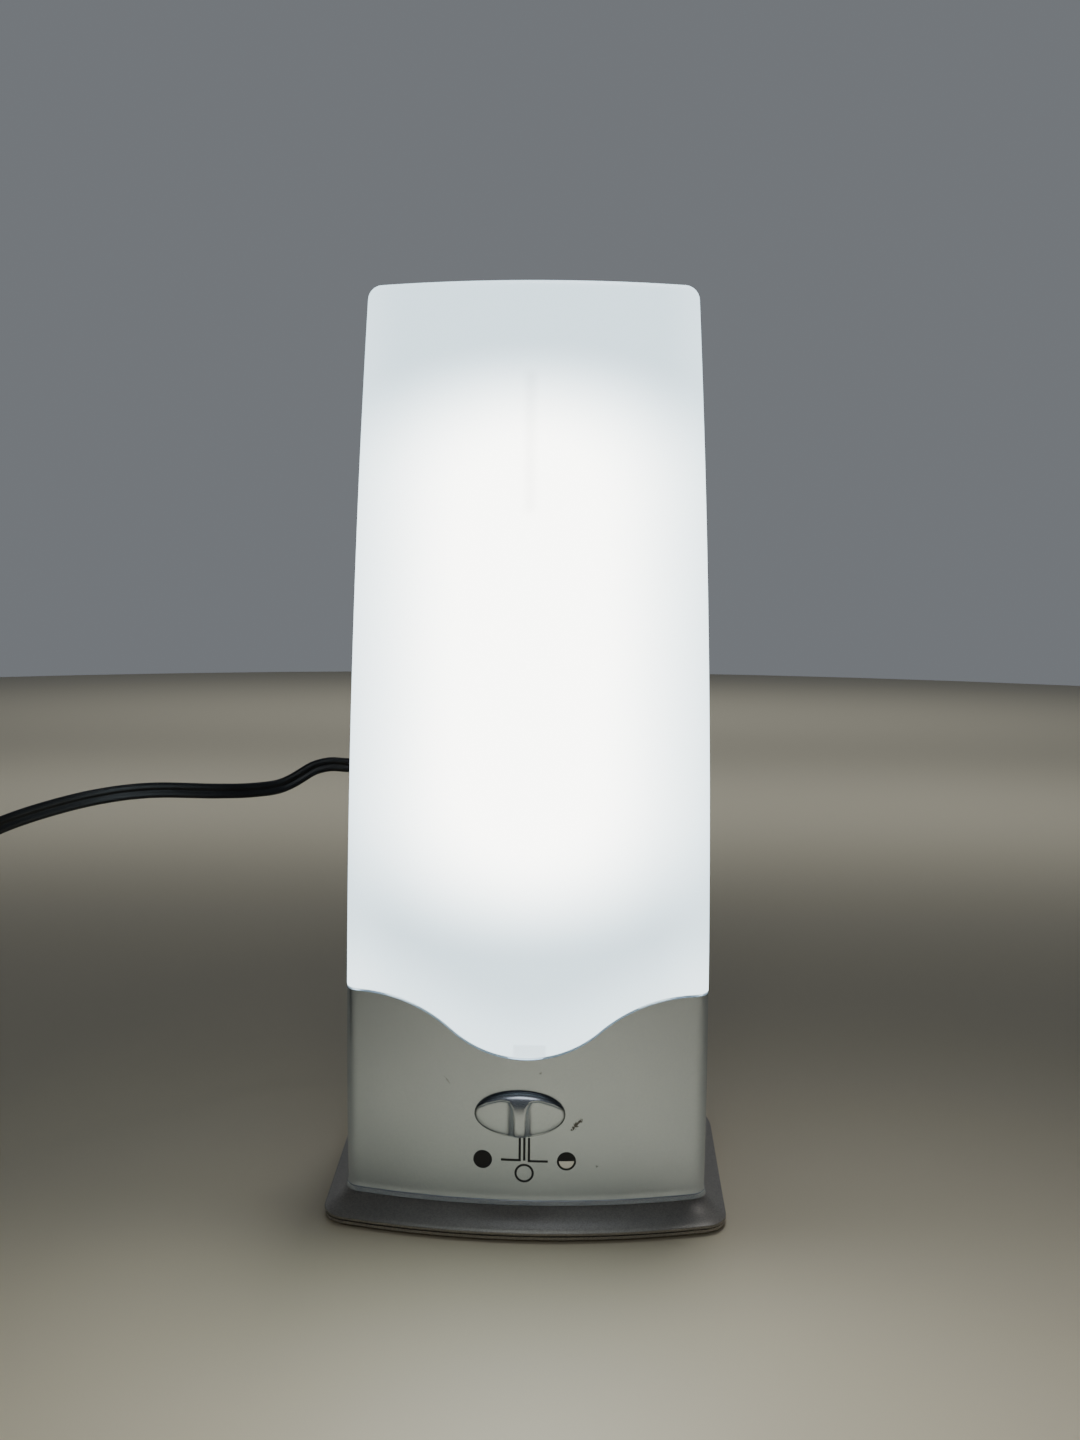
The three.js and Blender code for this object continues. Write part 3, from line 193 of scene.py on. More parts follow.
def outward(points, faces):
    return (points, faces) if volumeOf(points, faces) > 0 else (points, [ring[::-1] for ring in faces])


def gridFaces(rows, columns, closed=False, kept=None):
    faces = []
    for i in range(rows - 1):
        for j in range(columns if closed else columns - 1):
            if kept is None or kept[i][j]:
                k = (j + 1) % columns
                faces.append([i * columns + j, i * columns + k, (i + 1) * columns + k, (i + 1) * columns + j])
    return faces


# Closed rings of equally many points, skinned, with a fan over each end
def closedLoft(rings):
    rings = np.asarray(rings, float)
    rows, columns = rings.shape[:2]
    points = np.vstack([rings.reshape(-1, 3), rings[0].mean(axis=0), rings[-1].mean(axis=0)])
    faces = gridFaces(rows, columns, closed=True)
    last = (rows - 1) * columns
    for j in range(columns):
        k = (j + 1) % columns
        faces.append([k, j, rows * columns])
        faces.append([last + j, last + k, rows * columns + 1])
    return outward(*weld(points, faces))


# Rings of which the last is the first again: a band without ends
def closedBand(rings):
    rings = np.asarray(rings, float)
    return outward(*weld(rings.reshape(-1, 3), gridFaces(len(rings), rings.shape[1], closed=True)))


def turned(profile, base, axis, sides=40):
    axis = np.array(axis, float) / np.linalg.norm(axis)
    aside = np.cross(axis, (0.0, 0.0, 1.0) if abs(axis[2]) < 0.9 else (0.0, 1.0, 0.0))
    aside /= np.linalg.norm(aside)
    third = np.cross(axis, aside)
    turns = np.arange(sides) * 2 * math.pi / sides
    ring = np.outer(np.cos(turns), aside) + np.outer(np.sin(turns), third)
    return closedLoft([np.array(base) + along * axis + radius * ring for radius, along in profile])


def post(start, end, radius, sides=28):
    start, end = np.array(start, float), np.array(end, float)
    length = float(np.linalg.norm(end - start))
    return turned([(radius, 0), (radius, length)], start, end - start, sides)


def slab(middle, size):
    x, y, z = np.array(size) / 2
    ring = [(-x, -y), (x, -y), (x, y), (-x, y)]
    return closedLoft([[np.array(middle) + (a, b, side) for a, b in ring] for side in (-z, z)])


def softenEdges(piece, bevel):
    edge = piece.modifiers.new("softEdges", "BEVEL")
    edge.width = bevel * mm
    edge.segments = 2
    edge.limit_method = "ANGLE"
    edge.angle_limit = math.radians(42)


def addPiece(name, shape, material, replaced=(), body="lamp", bevel=0, smooth=True):
    points, faces = shape
    data = bpy.data.meshes.new(name)
    data.from_pydata((points * mm).tolist(), [], faces)
    data.polygons.foreach_set("use_smooth", [smooth] * len(data.polygons))
    data.materials.append(material)
    piece = bpy.data.objects.new(name, data)
    scene.collection.objects.link(piece)
    if bevel:
        softenEdges(piece, bevel)
    shade = piece.modifiers.new("evenShading", "WEIGHTED_NORMAL")
    shade.keep_sharp = True
    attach(piece, body)
    if replaced:
        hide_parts(*replaced)
    return piece


# A solid built again with finer form: the new piece has its name, in camelCase
def rebuild(node, shape, material, body="lamp", bevel=0):
    first, *rest = node.split("_")
    name = first + "".join(word.capitalize() for word in rest)
    return addPiece(name, shape, material, (node,), body, bevel)


# A carried solid keeps its shape, gets fine edges and a finish
def dress(name, material, bevel):
    piece = solids[name]
    if piece.material_slots:
        for place in piece.material_slots:
            place.material = material
    else:
        piece.data.materials.append(material)
    softenEdges(piece, bevel)


# The housing's form, as in the solids: bowed in plan, widest low down, leaning back as it rises
housing = {
    "foot": 10.4, "height": 389.5, "width": 154.6, "topWidth": 135.6, "widest": 52.0, "depth": 98.0,
    "front": -52.5, "taper": 26.0, "lean": 19.2, "bulge": 3.0, "bow": 322.0, "nearCorner": 7.0,
    "farCorner": 30.0, "roofRound": 6.0, "wall": 2.2, "split": 30.0, "line": 0.4,
    "seam": 96.6, "seamDip": 25.4, "seamShoulder": 69.0, "seamTip": 48.0,
    "skirt": 0.3, "skirtTall": 2.8,
}

# Silver flake paint sprayed on moulded ABS: a warm grey that sparkles finely and hardly mirrors anything
silverPaint = {
    "shader": {"Metallic": 0.9, "Coat Weight": 0.1, "Coat Roughness": 0.3},
    "dark": "D6E0EB", "light": "DEE8F3", "cloudSize": 60, "grainSize": 1.4,
    "smooth": 0.27, "rough": 0.27, "relief": 0.03, "depth": 0.05,
    "flakeSize": 0.45,  # real flakes are 0.03 mm: drawn coarse enough to show
    "flakeShade": 0.94, "flakeShine": 1.02,
}
# The same paint on the switch cap, rubbed smoother by fingers
touchedSilverPaint = {**silverPaint, "smooth": 0.24, "rough": 0.24}
# Graphite flake paint sprayed on moulded ABS: dark, with a satin sheen along its curves
graphitePaint = {
    "shader": {"Metallic": 0.6, "Coat Weight": 0.2, "Coat Roughness": 0.28},
    "dark": "9F9A92", "light": "A9A49C", "cloudSize": 40, "grainSize": 1.0,
    "smooth": 0.38, "rough": 0.38, "relief": 0.04, "depth": 0.05,
    "flakeSize": 0.45,  # coarser than real flakes, as on the silver
    "flakeShade": 0.86, "flakeShine": 1.15,
}
# Marks on the panel, in mm: place, turn in degrees, half sizes and the size of the crumbs that break them up
panelScuffs = [
    {"at": (21.6, -52, 43.3), "turn": 47, "length": 4.2, "width": 1.2, "crumb": 0.9,
     "colour": "3A3024", "strength": 0.9},
    {"at": (-32.5, -52, 61.0), "turn": -50, "length": 2.2, "width": 0.5, "crumb": 0.6,
     "colour": "6A6A66", "strength": 0.4},
    {"at": (6.6, -52, 65.4), "turn": 0, "length": 0.9, "width": 0.7, "crumb": 0.5,
     "colour": "505050", "strength": 0.5},
    {"at": (30.4, -52, 24.9), "turn": 0, "length": 0.8, "width": 0.7, "crumb": 0.5,
     "colour": "404040", "strength": 0.6},
]
# Painted shade along the rim of the switch cap: an oval band darkened into the paint's colour
capRimShade = {
    "at": (-1.95, -55, 47.75), "turn": 0, "length": 19.0, "width": 9.8,
    "from": 0.93, "to": 0.985,  # where the painted shade starts and is full, as a share of the half sizes
    "shade": 0.2,
}


def sprayedPaint(name, look, scuffs=(), rim=None):
    material, place, colour = startFinish(name, look)
    flakes = addNode(material, "TexVoronoi", {"Scale": 1 / (look["flakeSize"] * mm)}, {"Vector": place})
    spark = addNode(material, "SeparateColor", {}, {0: flakes.outputs["Color"]})
    shades = {"To Min": look["flakeShade"], "To Max": look["flakeShine"]}
    shade = addNode(material, "MapRange", shades, {"Value": spark.outputs[0]})
    tinted = addNode(material, "VectorMath", {"operation": "SCALE"}, {0: colour, "Scale": shade.outputs[0]})
    result = tinted.outputs[0]
    for scuff in scuffs:
        result = addScuff(material, place, result, scuff)
    if rim:
        result = addPaintedRimShade(material, place, result, rim)
    plug(material, result, "Base Color")
    return material


# Distance from the middle of an oval on the front, as a share of its half sizes
def ovalShare(material, place, oval):
    middle = {"operation": "SUBTRACT", 1: [part * mm for part in oval["at"]]}
    away = addNode(material, "VectorMath", middle, {0: place})
    turn = {"rotation_type": "Y_AXIS", "Angle": math.radians(oval["turn"])}
    straight = addNode(material, "VectorRotate", turn, {0: away.outputs[0]})
    stretch = [1 / (oval["length"] * mm), 0.0, 1 / (oval["width"] * mm)]
    scaled = addNode(material, "VectorMath", {"operation": "MULTIPLY", 1: stretch}, {0: straight.outputs[0]})
    return addNode(material, "VectorMath", {"operation": "LENGTH"}, {0: scaled.outputs[0]}).outputs["Value"]


# A rubbed mark: a slanting streak broken up by noise
def addScuff(material, place, colour, scuff):
    radius = ovalShare(material, place, scuff)
    crumbs = {"Scale": 1 / (scuff["crumb"] * mm), "Detail": 4.0}
    speckle = addNode(material, "TexNoise", crumbs, {"Vector": place})
    breakUp = {"operation": "MULTIPLY_ADD", 1: 3.0}
    ragged = addNode(material, "Math", breakUp, {0: speckle.outputs[0], 2: radius})
    fade = {"From Min": 2.3, "From Max": 2.0, "To Max": scuff["strength"]}
    mask = addNode(material, "MapRange", fade, {"Value": ragged.outputs[0]})
    rubbed = {"data_type": "RGBA", 7: fromHex(scuff["colour"])}
    return addNode(material, "Mix", rubbed, {0: mask.outputs[0], 6: colour}).outputs[2]


# Painted shade: the paint's colour is darkened along the rim of the switch cap, where shade falls in the gap
# round it
def addPaintedRimShade(material, place, colour, rim):
    fade = {"From Min": rim["from"], "From Max": rim["to"], "To Min": 1.0, "To Max": rim["shade"]}
    shade = addNode(material, "MapRange", fade, {"Value": ovalShare(material, place, rim)})
    darkened = addNode(material, "VectorMath", {"operation": "SCALE"}, {0: colour, "Scale": shade.outputs[0]})
    return darkened.outputs[0]


# Opal acrylic, injection moulded: the tube behind it shows as a soft tall patch, paler blue at the rim
lensGlow = {
    "shader": {"IOR": 1.49},
    "dark": "C8CCCE", "light": "D0D4D6", "cloudSize": 50, "grainSize": 1.2,
    "smooth": 0.4, "rough": 0.5, "relief": 0.05, "depth": 0.03,
    "rim": "CDE6F2", "middle": "FFFFF8", "rimStrength": 2.35, "middleStrength": 8.0,
    "foot": (196, 111), "top": (290, 366), "halfWidth": 76, "sideReach": 0.84, "sideCurve": 0.66,
    "squareness": 3.0,
    "patch": (1.0, 0.4),  # distance from the middle, as a share, where the light ends and is full
    "seamFade": (32, 1), "seamGlow": 0.14, "dipEnds": (72, 0), "edgeFade": (50, 74), "edgeGlow": 0.06,
    "lip": (-0.25, -0.7), "lipShade": 0.12,  # the rim that faces down into the seam passes little light
    # shadows of the tongue and of the gap between two legs of the tube
    "tongue": {"x": 1.8, "z": 74.85, "halfWidth": 6.8, "halfTall": 2.6, "soft": 0.5, "shade": 0.8},
    "gap": {"x": 0.0, "z": 324, "halfWidth": 2.2, "halfTall": 28, "soft": 2.2, "shade": 0.84},
}


# Settings of a node that maps one stretch of values on another
def stretchOf(ends, low=0.0, high=1.0, shape="SMOOTHSTEP", size=1.0):
    return {"interpolation_type": shape, "From Min": ends[0] * size, "From Max": ends[1] * size,
            "To Min": low, "To Max": high}


# The steps that dim a soft rectangle of the lens, named after the mark
def shadowSteps(name, mark):
    steps = []
    for axis, half in (("x", "halfWidth"), ("z", "halfTall")):
        off, away, near = (name + part + axis for part in ("Off", "Away", "Near"))
        fade = stretchOf((mark[half] - mark["soft"], mark[half] + mark["soft"]), 1.0, 0.0, size=mm)
        steps += [
            (off, "Math", {"operation": "SUBTRACT", 1: mark[axis] * mm}, {0: axis}),
            (away, "Math", {"operation": "ABSOLUTE"}, {0: off}),
            (near, "MapRange", fade, {"Value": away}),
        ]
    both = {0: name + "Nearx", 1: name + "Nearz"}
    shade = stretchOf((0, 1), 1.0, mark["shade"], "LINEAR")
    return [*steps, (name + "Near", "Math", {"operation": "MULTIPLY"}, both),
            (name, "MapRange", shade, {"Value": name + "Near"})]


def opalAcrylic():
    look = lensGlow
    material, place, _ = startFinish("opalAcrylic", look)
    axes = addNode(material, "SeparateXYZ", {}, {0: place})
    normal = addNode(material, "NewGeometry", {}).outputs["Normal"]
    facing = addNode(material, "SeparateXYZ", {}, {0: normal})
    known = {"x": axes.outputs[0], "z": axes.outputs[2], "facingUp": facing.outputs[2]}
    order = look["squareness"]
    dip = stretchOf(look["dipEnds"], 0.0, housing["seamDip"] * mm, size=mm)
    seam = stretchOf(look["seamFade"], 0.0, look["seamGlow"], size=mm)
    edge = stretchOf(look["edgeFade"], 0.0, look["edgeGlow"], size=mm)
    strength = stretchOf((0, 1), look["rimStrength"], look["middleStrength"], "LINEAR")
    addSteps(material, known, [
        # how far out a point lies from the middle of the lit patch, as a share
        ("aside", "Math", {"operation": "ABSOLUTE"}, {0: "x"}),
        ("asideShare", "Math", {"operation": "DIVIDE", 1: look["halfWidth"] * mm}, {0: "aside"}),
        ("curved", "Math", {"operation": "POWER", 1: look["sideCurve"]}, {0: "asideShare"}),
        ("across", "Math", {"operation": "MULTIPLY", 1: look["sideReach"]}, {0: "curved"}),
        ("below", "MapRange", stretchOf(look["foot"], shape="LINEAR", size=mm), {"Value": "z"}),
        ("over", "MapRange", stretchOf(look["top"], shape="LINEAR", size=mm), {"Value": "z"}),
        ("tall", "Math", {"operation": "MAXIMUM"}, {0: "below", 1: "over"}),
        ("acrossPower", "Math", {"operation": "POWER", 1: order}, {0: "across"}),
        ("tallPower", "Math", {"operation": "POWER", 1: order}, {0: "tall"}),
        ("bothPowers", "Math", {"operation": "ADD"}, {0: "acrossPower", 1: "tallPower"}),
        ("away", "Math", {"operation": "POWER", 1: 1 / order}, {0: "bothPowers"}),
        ("patch", "MapRange", stretchOf(look["patch"]), {"Value": "away"}),
        # a little light along the seam and the side edges
        ("dip", "MapRange", dip, {"Value": "aside"}),
        ("zAndDip", "Math", {"operation": "ADD"}, {0: "z", 1: "dip"}),
        ("overSeam", "Math", {"operation": "SUBTRACT", 1: housing["seam"] * mm}, {0: "zAndDip"}),
        ("seam", "MapRange", seam, {"Value": "overSeam"}),
        ("edge", "MapRange", edge, {"Value": "aside"}),
        ("patchOrSeam", "Math", {"operation": "MAXIMUM"}, {0: "patch", 1: "seam"}),
        ("glow", "Math", {"operation": "ADD"}, {0: "patchOrSeam", 1: "edge"}),
        ("strength", "MapRange", strength, {"Value": "glow"}),
        # what stands before the tube, and the lip
        *shadowSteps("tongueShade", look["tongue"]),
        *shadowSteps("gapShade", look["gap"]),
        ("shades", "Math", {"operation": "MULTIPLY"}, {0: "tongueShade", 1: "gapShade"}),
        ("shaded", "Math", {"operation": "MULTIPLY"}, {0: "strength", 1: "shades"}),
        ("lip", "MapRange", stretchOf(look["lip"], 1.0, look["lipShade"]), {"Value": "facingUp"}),
        ("power", "Math", {"operation": "MULTIPLY"}, {0: "shaded", 1: "lip"}),
    ])
    tones = {"data_type": "RGBA", 6: fromHex(look["rim"]), 7: fromHex(look["middle"])}
    colour = addNode(material, "Mix", tones, {0: known["glow"]}).outputs[2]
    plug(material, colour, "Emission Color")
    plug(material, known["power"], "Emission Strength")
    material.cycles.emission_sampling = "FRONT"  # the shell's inner sides light nothing outside
    return material


# Two colours, then least and most roughness, the grain's size in mm, relief and metallic
def plainFinish(name, dark, light, smooth, rough, grain, relief, metallic=0.0, cloud=12, depth=0.05, more=()):
    look = {"shader": {"Metallic": metallic, **dict(more)}, "dark": dark, "light": light, "cloudSize": cloud,
            "grainSize": grain, "smooth": smooth, "rough": rough, "relief": relief, "depth": depth}
    return startFinish(name, look)[0]


# Flexible PVC, extruded: soft even sheen with long faint lines from the die
pvc = plainFinish("extrudedPvc", "121315", "1C1D20", 0.3, 0.42, 0.9, 0.25, cloud=14,
                  more={"IOR": 1.53, "Coat Weight": 0.1, "Coat Roughness": 0.35})
# Moulded thermoplastic rubber: matt, with a fine spark-eroded grain
rubber = plainFinish("mouldedRubber", "17171A", "232327", 0.6, 0.85, 0.5, 0.5, cloud=9, depth=0.08,
                     more={"IOR": 1.5})
silver = sprayedPaint("sprayedSilver", silverPaint)
panelSilver = sprayedPaint("sprayedSilverRubbed", silverPaint, panelScuffs)
# The cap's paint carries painted shade along its rim
capSilverRimShaded = sprayedPaint("sprayedSilverTouchedRimShaded", touchedSilverPaint, rim=capRimShade)
graphite = sprayedPaint("sprayedGraphite", graphitePaint)
opal = opalAcrylic()
zinc = plainFinish("zincPlatedSteel", "8E9196", "B9BCC0", 0.25, 0.4, 0.6, 0.15, 1.0)  # bright, faintly blue
brass = plainFinish("rolledBrass", "B08D45", "D1B068", 0.22, 0.36, 0.5, 0.15, 1.0)  # drawn strip, dulled
enamel = plainFinish("stovedEnamel", "EDEDE8", "F6F6F2", 0.18, 0.28, 2.5, 0.2)  # glossy, slightly wavy
pbt = plainFinish("mouldedPbt", "DAD7CC", "E6E3DA", 0.4, 0.55, 0.7, 0.25)  # creamy and heat resistant
nylon = plainFinish("mouldedNylon", "17181A", "232427", 0.4, 0.55, 0.6, 0.3)  # black, slightly waxy
fibreBoard = plainFinish("glassFibreBoard", "1F4A2B", "2F6A3C", 0.3, 0.45, 0.8, 0.4)  # green lacquer on weave
shrinkSleeve = plainFinish("shrinkSleeve", "182544", "223158", 0.25, 0.35, 1.5, 0.15)  # tight glossy film
sintered = plainFinish("sinteredFerrite", "1D1D1F", "2B2B2E", 0.55, 0.75, 0.4, 0.5)  # dark and chalky
copperWire = plainFinish("enamelledCopper", "8A3F1E", "B4602F", 0.25, 0.4, 0.5, 0.3, 0.8)  # amber lacquer
aluminium = plainFinish("extrudedAluminium", "A6A8AA", "C4C6C8", 0.3, 0.45, 0.6, 0.2, 1.0)  # dull, streaked
ink = plainFinish("screenInk", "22242A", "2A2C32", 0.45, 0.6, 0.3, 0.15)  # flat black screen print
paleInk = plainFinish("brightSilverInk", "F6F6F6", "FFFFFF", 0.3, 0.4, 0.3, 0.15, 1.0)  # brighter than paint
litGlass = plainFinish("phosphorGlass", "F4F6FF", "FFFFFF", 0.1, 0.2, 3.0, 0.05,
                       more={"Emission Color": fromHex("F4F7FF"), "Emission Strength": 2.5})
litGlass.cycles.emission_sampling = "NONE"  # an even white glow that shines only inside the housing
print("finishes:", len(bpy.data.materials))

# Mains cord: the same route as the solids, in one piece
cordMake = {
    "width": 7.8, "thickness": 3.9, "web": 1.1, "length": 1854, "step": 2.6,
    "exit": (-25.0, 69.2, 170.6), "twist": 0.85, "twistEnd": 0.18,
    "coilMiddle": (-336.0, -34.0), "coilMean": 39.0, "turns": 5.375, "coilStart": -math.pi / 4,
    "turnGap": 0.8, "layerGap": 0.7, "tieThickness": 0.6, "tieSlack": 0.4, "tieWidth": 8.0, "tieRound": 2,
    "tieForm": ((0.3, 0), (0, 0.15), (0, 0.45), (0.3, 0.6)),  # in from the band's edge, and out
    "plugRise": 7.5, "plugLead": 48.0,
    "coilJoin": (4.2, 0.3),  # how far before the coil the lead's last two stops lie
}
cordRoute = [
    (-25, 69.5, 170.64), (-25, 76.99, 171.07), (-29.4, 90.5, 172), (-41.5, 101.6, 172), (-58, 106, 171.6),
    (-82, 107, 170), (-104.6, 105.5, 169.4), (-115, 103, 170.2), (-123.1, 99.5, 168.4), (-127.9, 96.5, 165.6),
    (-133.2, 93, 162.4), (-139.5, 88.5, 160), (-151.7, 78.5, 159.6), (-165.5, 65.5, 161.3),
    (-191.4, 42.5, 165.4), (-208.8, 25.5, 165.3), (-225.3, 9.5, 162.4), (-240.8, -6.5, 157.5),
    (-250.8, -16.1, 151.9), (-258.8, -23.8, 143.3), (-265, -29.8, 132.2), (-268.9, -33.6, 119.2),
    (-270.2, -34.8, 105.3),
    (-270.6, -35.2, 85), (-271, -35.6, 64), (-271.6, -36.2, 46), (-272.9, -37.5, 33.1), (-275.6, -40.1, 23.9),
    (-280, -44.3, 16), (-285.5, -49.6, 10.2), (-289.5, -53.5, 7.3),
]
plugRoute = [(0, 6, 13.1), (-0.1, 13, 11.2), (-0.2, 21, 8), (-0.2, 29, 6), (-0.1, 37, 6)]


def smoothPath(stops, step):
    stops = np.array(stops, float)
    padded = np.vstack([2 * stops[0] - stops[1], stops, 2 * stops[-1] - stops[-2]])
    line = []
    for k in range(1, len(padded) - 2):
        p0, p1, p2, p3 = padded[k - 1:k + 3]
        d0, d1, d2 = (np.linalg.norm(b - a) ** 0.5 for a, b in ((p0, p1), (p1, p2), (p2, p3)))
        m1 = ((p1 - p0) / d0 - (p2 - p0) / (d0 + d1) + (p2 - p1) / d1) * d1
        m2 = ((p2 - p1) / d1 - (p3 - p1) / (d1 + d2) + (p3 - p2) / d2) * d1
        count = max(2, round(float(np.linalg.norm(p2 - p1)) / step))
        for i in range(count):
            t = i / count
            cubic = (2 * p1 - 2 * p2 + m1 + m2) * t ** 3 + (3 * p2 - 3 * p1 - 2 * m1 - m2) * t ** 2
            line.append(cubic + m1 * t + p1)
    return np.vstack([line, stops[-1]])


# Two flat layers of turns: inwards on the table, over the middle turn, then outwards again
def coilLine(make):
    pitch = make["thickness"] + make["turnGap"]
    outer = make["coilMean"] + pitch * make["turns"] / 4
    low = make["tieThickness"] + make["tieSlack"] + make["width"] / 2
    layer = make["width"] + make["layerGap"]
    x, y = make["coilMiddle"]
    line = []
    steps = round(make["turns"] * 96)
    for i in range(steps + 1):
        turn = make["turns"] * i / steps
        radius = outer - pitch * min(turn, make["turns"] - turn)
        angle = make["coilStart"] - 2 * math.pi * turn
        rise = low + layer * eased((turn - make["turns"] / 2) * 2 + 0.5)
        line.append((x + radius * math.cos(angle), y + radius * math.sin(angle), rise))
    entry, leave = (np.array((math.sin(a), -math.cos(a), 0)) for a in (make["coilStart"], angle))
    first, last = np.array(line[0]), np.array(line[-1])
    return np.vstack([first - make["width"] * entry, line, last + make["width"] * leave])


def sweep(line, section, twist):
    tangents = unit(np.gradient(line, axis=0))
    level = unit(np.stack([-tangents[:, 1], tangents[:, 0], np.zeros(len(line))], axis=1))
    across = np.cross(tangents, level)
    turn, lift = np.cos(twist)[:, None], np.sin(twist)[:, None]
    normals, binormals = turn * level + lift * across, turn * across - lift * level
    rings = line[:, None, :] + section[None, :, 0, None] * normals[:, None, :]
    return closedLoft(rings + section[None, :, 1, None] * binormals[:, None, :])


# Two round cores side by side, joined by a narrow web
def cordSection(make):
    lobe = make["thickness"] / 2
    centre = make["width"] / 2 - lobe
    reach = math.pi - math.asin(make["web"] / lobe)
    points = []
    for middle, start in ((centre, math.pi / 2), (-centre, 3 * math.pi / 2)):
        for i in range(12):
            turn = start + reach * (2 * i / 11 - 1)
            points.append((lobe * math.cos(turn), middle + lobe * math.sin(turn)))
    return np.array(points)


coilRun = coilLine(cordMake)
intoCoil = (coilRun[1] - coilRun[0]) / np.linalg.norm(coilRun[1] - coilRun[0])
leadStops = [*cordRoute, *[coilRun[0] - gap * intoCoil for gap in cordMake["coilJoin"]]]
leadRun = smoothPath(leadStops, cordMake["step"])
coilEnd = coilRun[-1]
plugAt = np.array((coilEnd[0], coilEnd[1] + cordMake["plugLead"], cordMake["plugRise"]))
plugTurns = [(coilEnd[0] + x, coilEnd[1] + y, z) for x, y, z in plugRoute]
plugStops = [coilEnd + (0, cordMake["coilJoin"][-1], 0), *plugTurns,
             plugAt - (0, cordMake["width"] / 2, 0), plugAt]
tailRun = smoothPath(plugStops, cordMake["step"])
cordLine = np.vstack([np.array(cordMake["exit"])[None], leadRun, coilRun, tailRun])
leadShares = np.concatenate([[0], np.linspace(0, 1, len(leadRun)), np.ones(len(coilRun) + len(tailRun))])
cordTwist = cordMake["twist"] * np.maximum(0, 1 - leadShares / cordMake["twistEnd"])
mainsCord = addPiece("mainsCord", sweep(cordLine, cordSection(cordMake), cordTwist), pvc,
                     ("cord_lead", "cord_coil", "cord_plug_lead"))

# Strain relief: a flange on the wall, then a ribbed boot that tapers to the cord
glandMake = {
    "wall": 40.95, "across": -25.0, "height": 169.0, "hole": 5.0, "slope": 0.0574,
    "flange": 8.4, "shaft": 4.9, "root": 6.2, "tip": 4.4,
    # radius, what is added to it, and how far along: the two flanges, and the boot's end
    "collar": [("shaft", 0, -4.5), ("flange", -0.6, -4.5), ("flange", 0, -4.1), ("flange", 0, -2.7),
               ("shaft", 0, -2.5), ("shaft", 0, 0.3), ("flange", -0.3, 0.3), ("flange", 0, 0.7),
               ("flange", 0, 1.7), ("flange", -0.6, 2.3), ("root", 0.6, 2.5)],
    "end": [("tip", 0, 27.2), ("tip", -0.15, 28.0), ("tip", -0.6, 28.3)],
    "bootStart": 2.6, "boot": 26.0, "plainEnd": 2, "ribs": 6, "groove": 0.7,
    # along one rib and its groove, as a share of the pitch, and how much of the groove's depth
    "ribForm": ((0.05, 0), (0.12, 0.15), (0.5, 0.15), (0.6, 1), (0.85, 1), (0.95, 0)),
}


def strainRelief(make):
    axis = np.array((0.0, 1.0, make["slope"]))
    base = (make["across"], make["wall"], make["height"])
    profile = [(make[part] + more, along) for part, more, along in make["collar"]]
    start = make["bootStart"]
    pitch = (make["boot"] - make["plainEnd"]) / make["ribs"]
    for k in range(make["ribs"]):
        for share, sunk in make["ribForm"]:
            along = start + pitch * (k + share)
            radius = make["root"] + (make["tip"] - make["root"]) * (along - start) / make["boot"]
            profile.append((radius - sunk * make["groove"], along))
    profile += [(make[part] + more, along) for part, more, along in make["end"]]
    return turned(profile, base, axis, 48)


boot = rebuild("strain_relief", strainRelief(glandMake), rubber)

plugMake = {
    "halfWidth": 9.5, "halfTall": 7.3, "length": 40.0, "round": 3.5, "cordPlay": 0.3,
    # along the plug, half width and half height: the neck with its shoulders, and the face
    "neckRows": [(0, 4.3, 4.3), (0.5, 4.8, 4.8), (4, 4.9, 4.85), (8, 5.3, 5.0), (12, 6.3, 5.5),
                 (14.5, 7.9, 6.3), (16.5, 9.0, 6.95), (18, 9.4, 7.25)],
    "faceRows": [(37.5, 9.5, 7.3), (39, 9.1, 6.9), (39.7, 8.5, 6.3), (40, 7.6, 5.4)],
    "ribs": 5, "ribStart": 19, "ribPitch": 3, "ribSink": (0.45, 0.1),
    "ribForm": ((0, 0), (0.5, 1), (1.4, 1), (1.9, 0)),
}
bladeMake = {
    "tall": 6.3, "thick": 1.5, "long": 16.0, "gap": 12.7, "root": 1.7, "holeToTip": 4, "corner": 1.2,
    "layers": ((-1, 0.25), (-0.7, 0), (0.7, 0), (1, 0.25)),  # share of half the thickness, edge drawn in
    "hole": ((1, 1.75), (0.7, 1.6), (-0.7, 1.6), (-1, 1.75)), "sides": 64,
}


def roundedRing(halfWidth, halfTall, radius, y, middle, steps=7):
    ring = []
    for corner in range(4):
        cornerX = (1 if corner in (0, 3) else -1) * (halfWidth - radius)
        cornerZ = (1 if corner < 2 else -1) * (halfTall - radius)
        for i in range(steps):
            turn = math.pi / 2 * (corner + i / (steps - 1))
            x = middle[0] + cornerX + radius * math.cos(turn)
            ring.append((x, y, middle[1] + cornerZ + radius * math.sin(turn)))
    return ring


def plugBody(make, at):
    middle = (at[0], at[2])
    start = at[1] + make["cordPlay"]
    rows = list(make["neckRows"])
    sinkWide, sinkTall = make["ribSink"]
    for k in range(make["ribs"]):
        low = make["ribStart"] + make["ribPitch"] * k
        for along, sink in make["ribForm"]:
            wide, tall = make["halfWidth"] - sink * sinkWide, make["halfTall"] - sink * sinkTall
            rows.append((low + along, wide, tall))
    rings = []
    for along, wide, tall in [*rows, *make["faceRows"]]:
        radius = min(make["round"], 0.9 * tall, 0.9 * wide)
        rings.append(roundedRing(wide, tall, radius, start + along, middle))
    return closedLoft(rings)


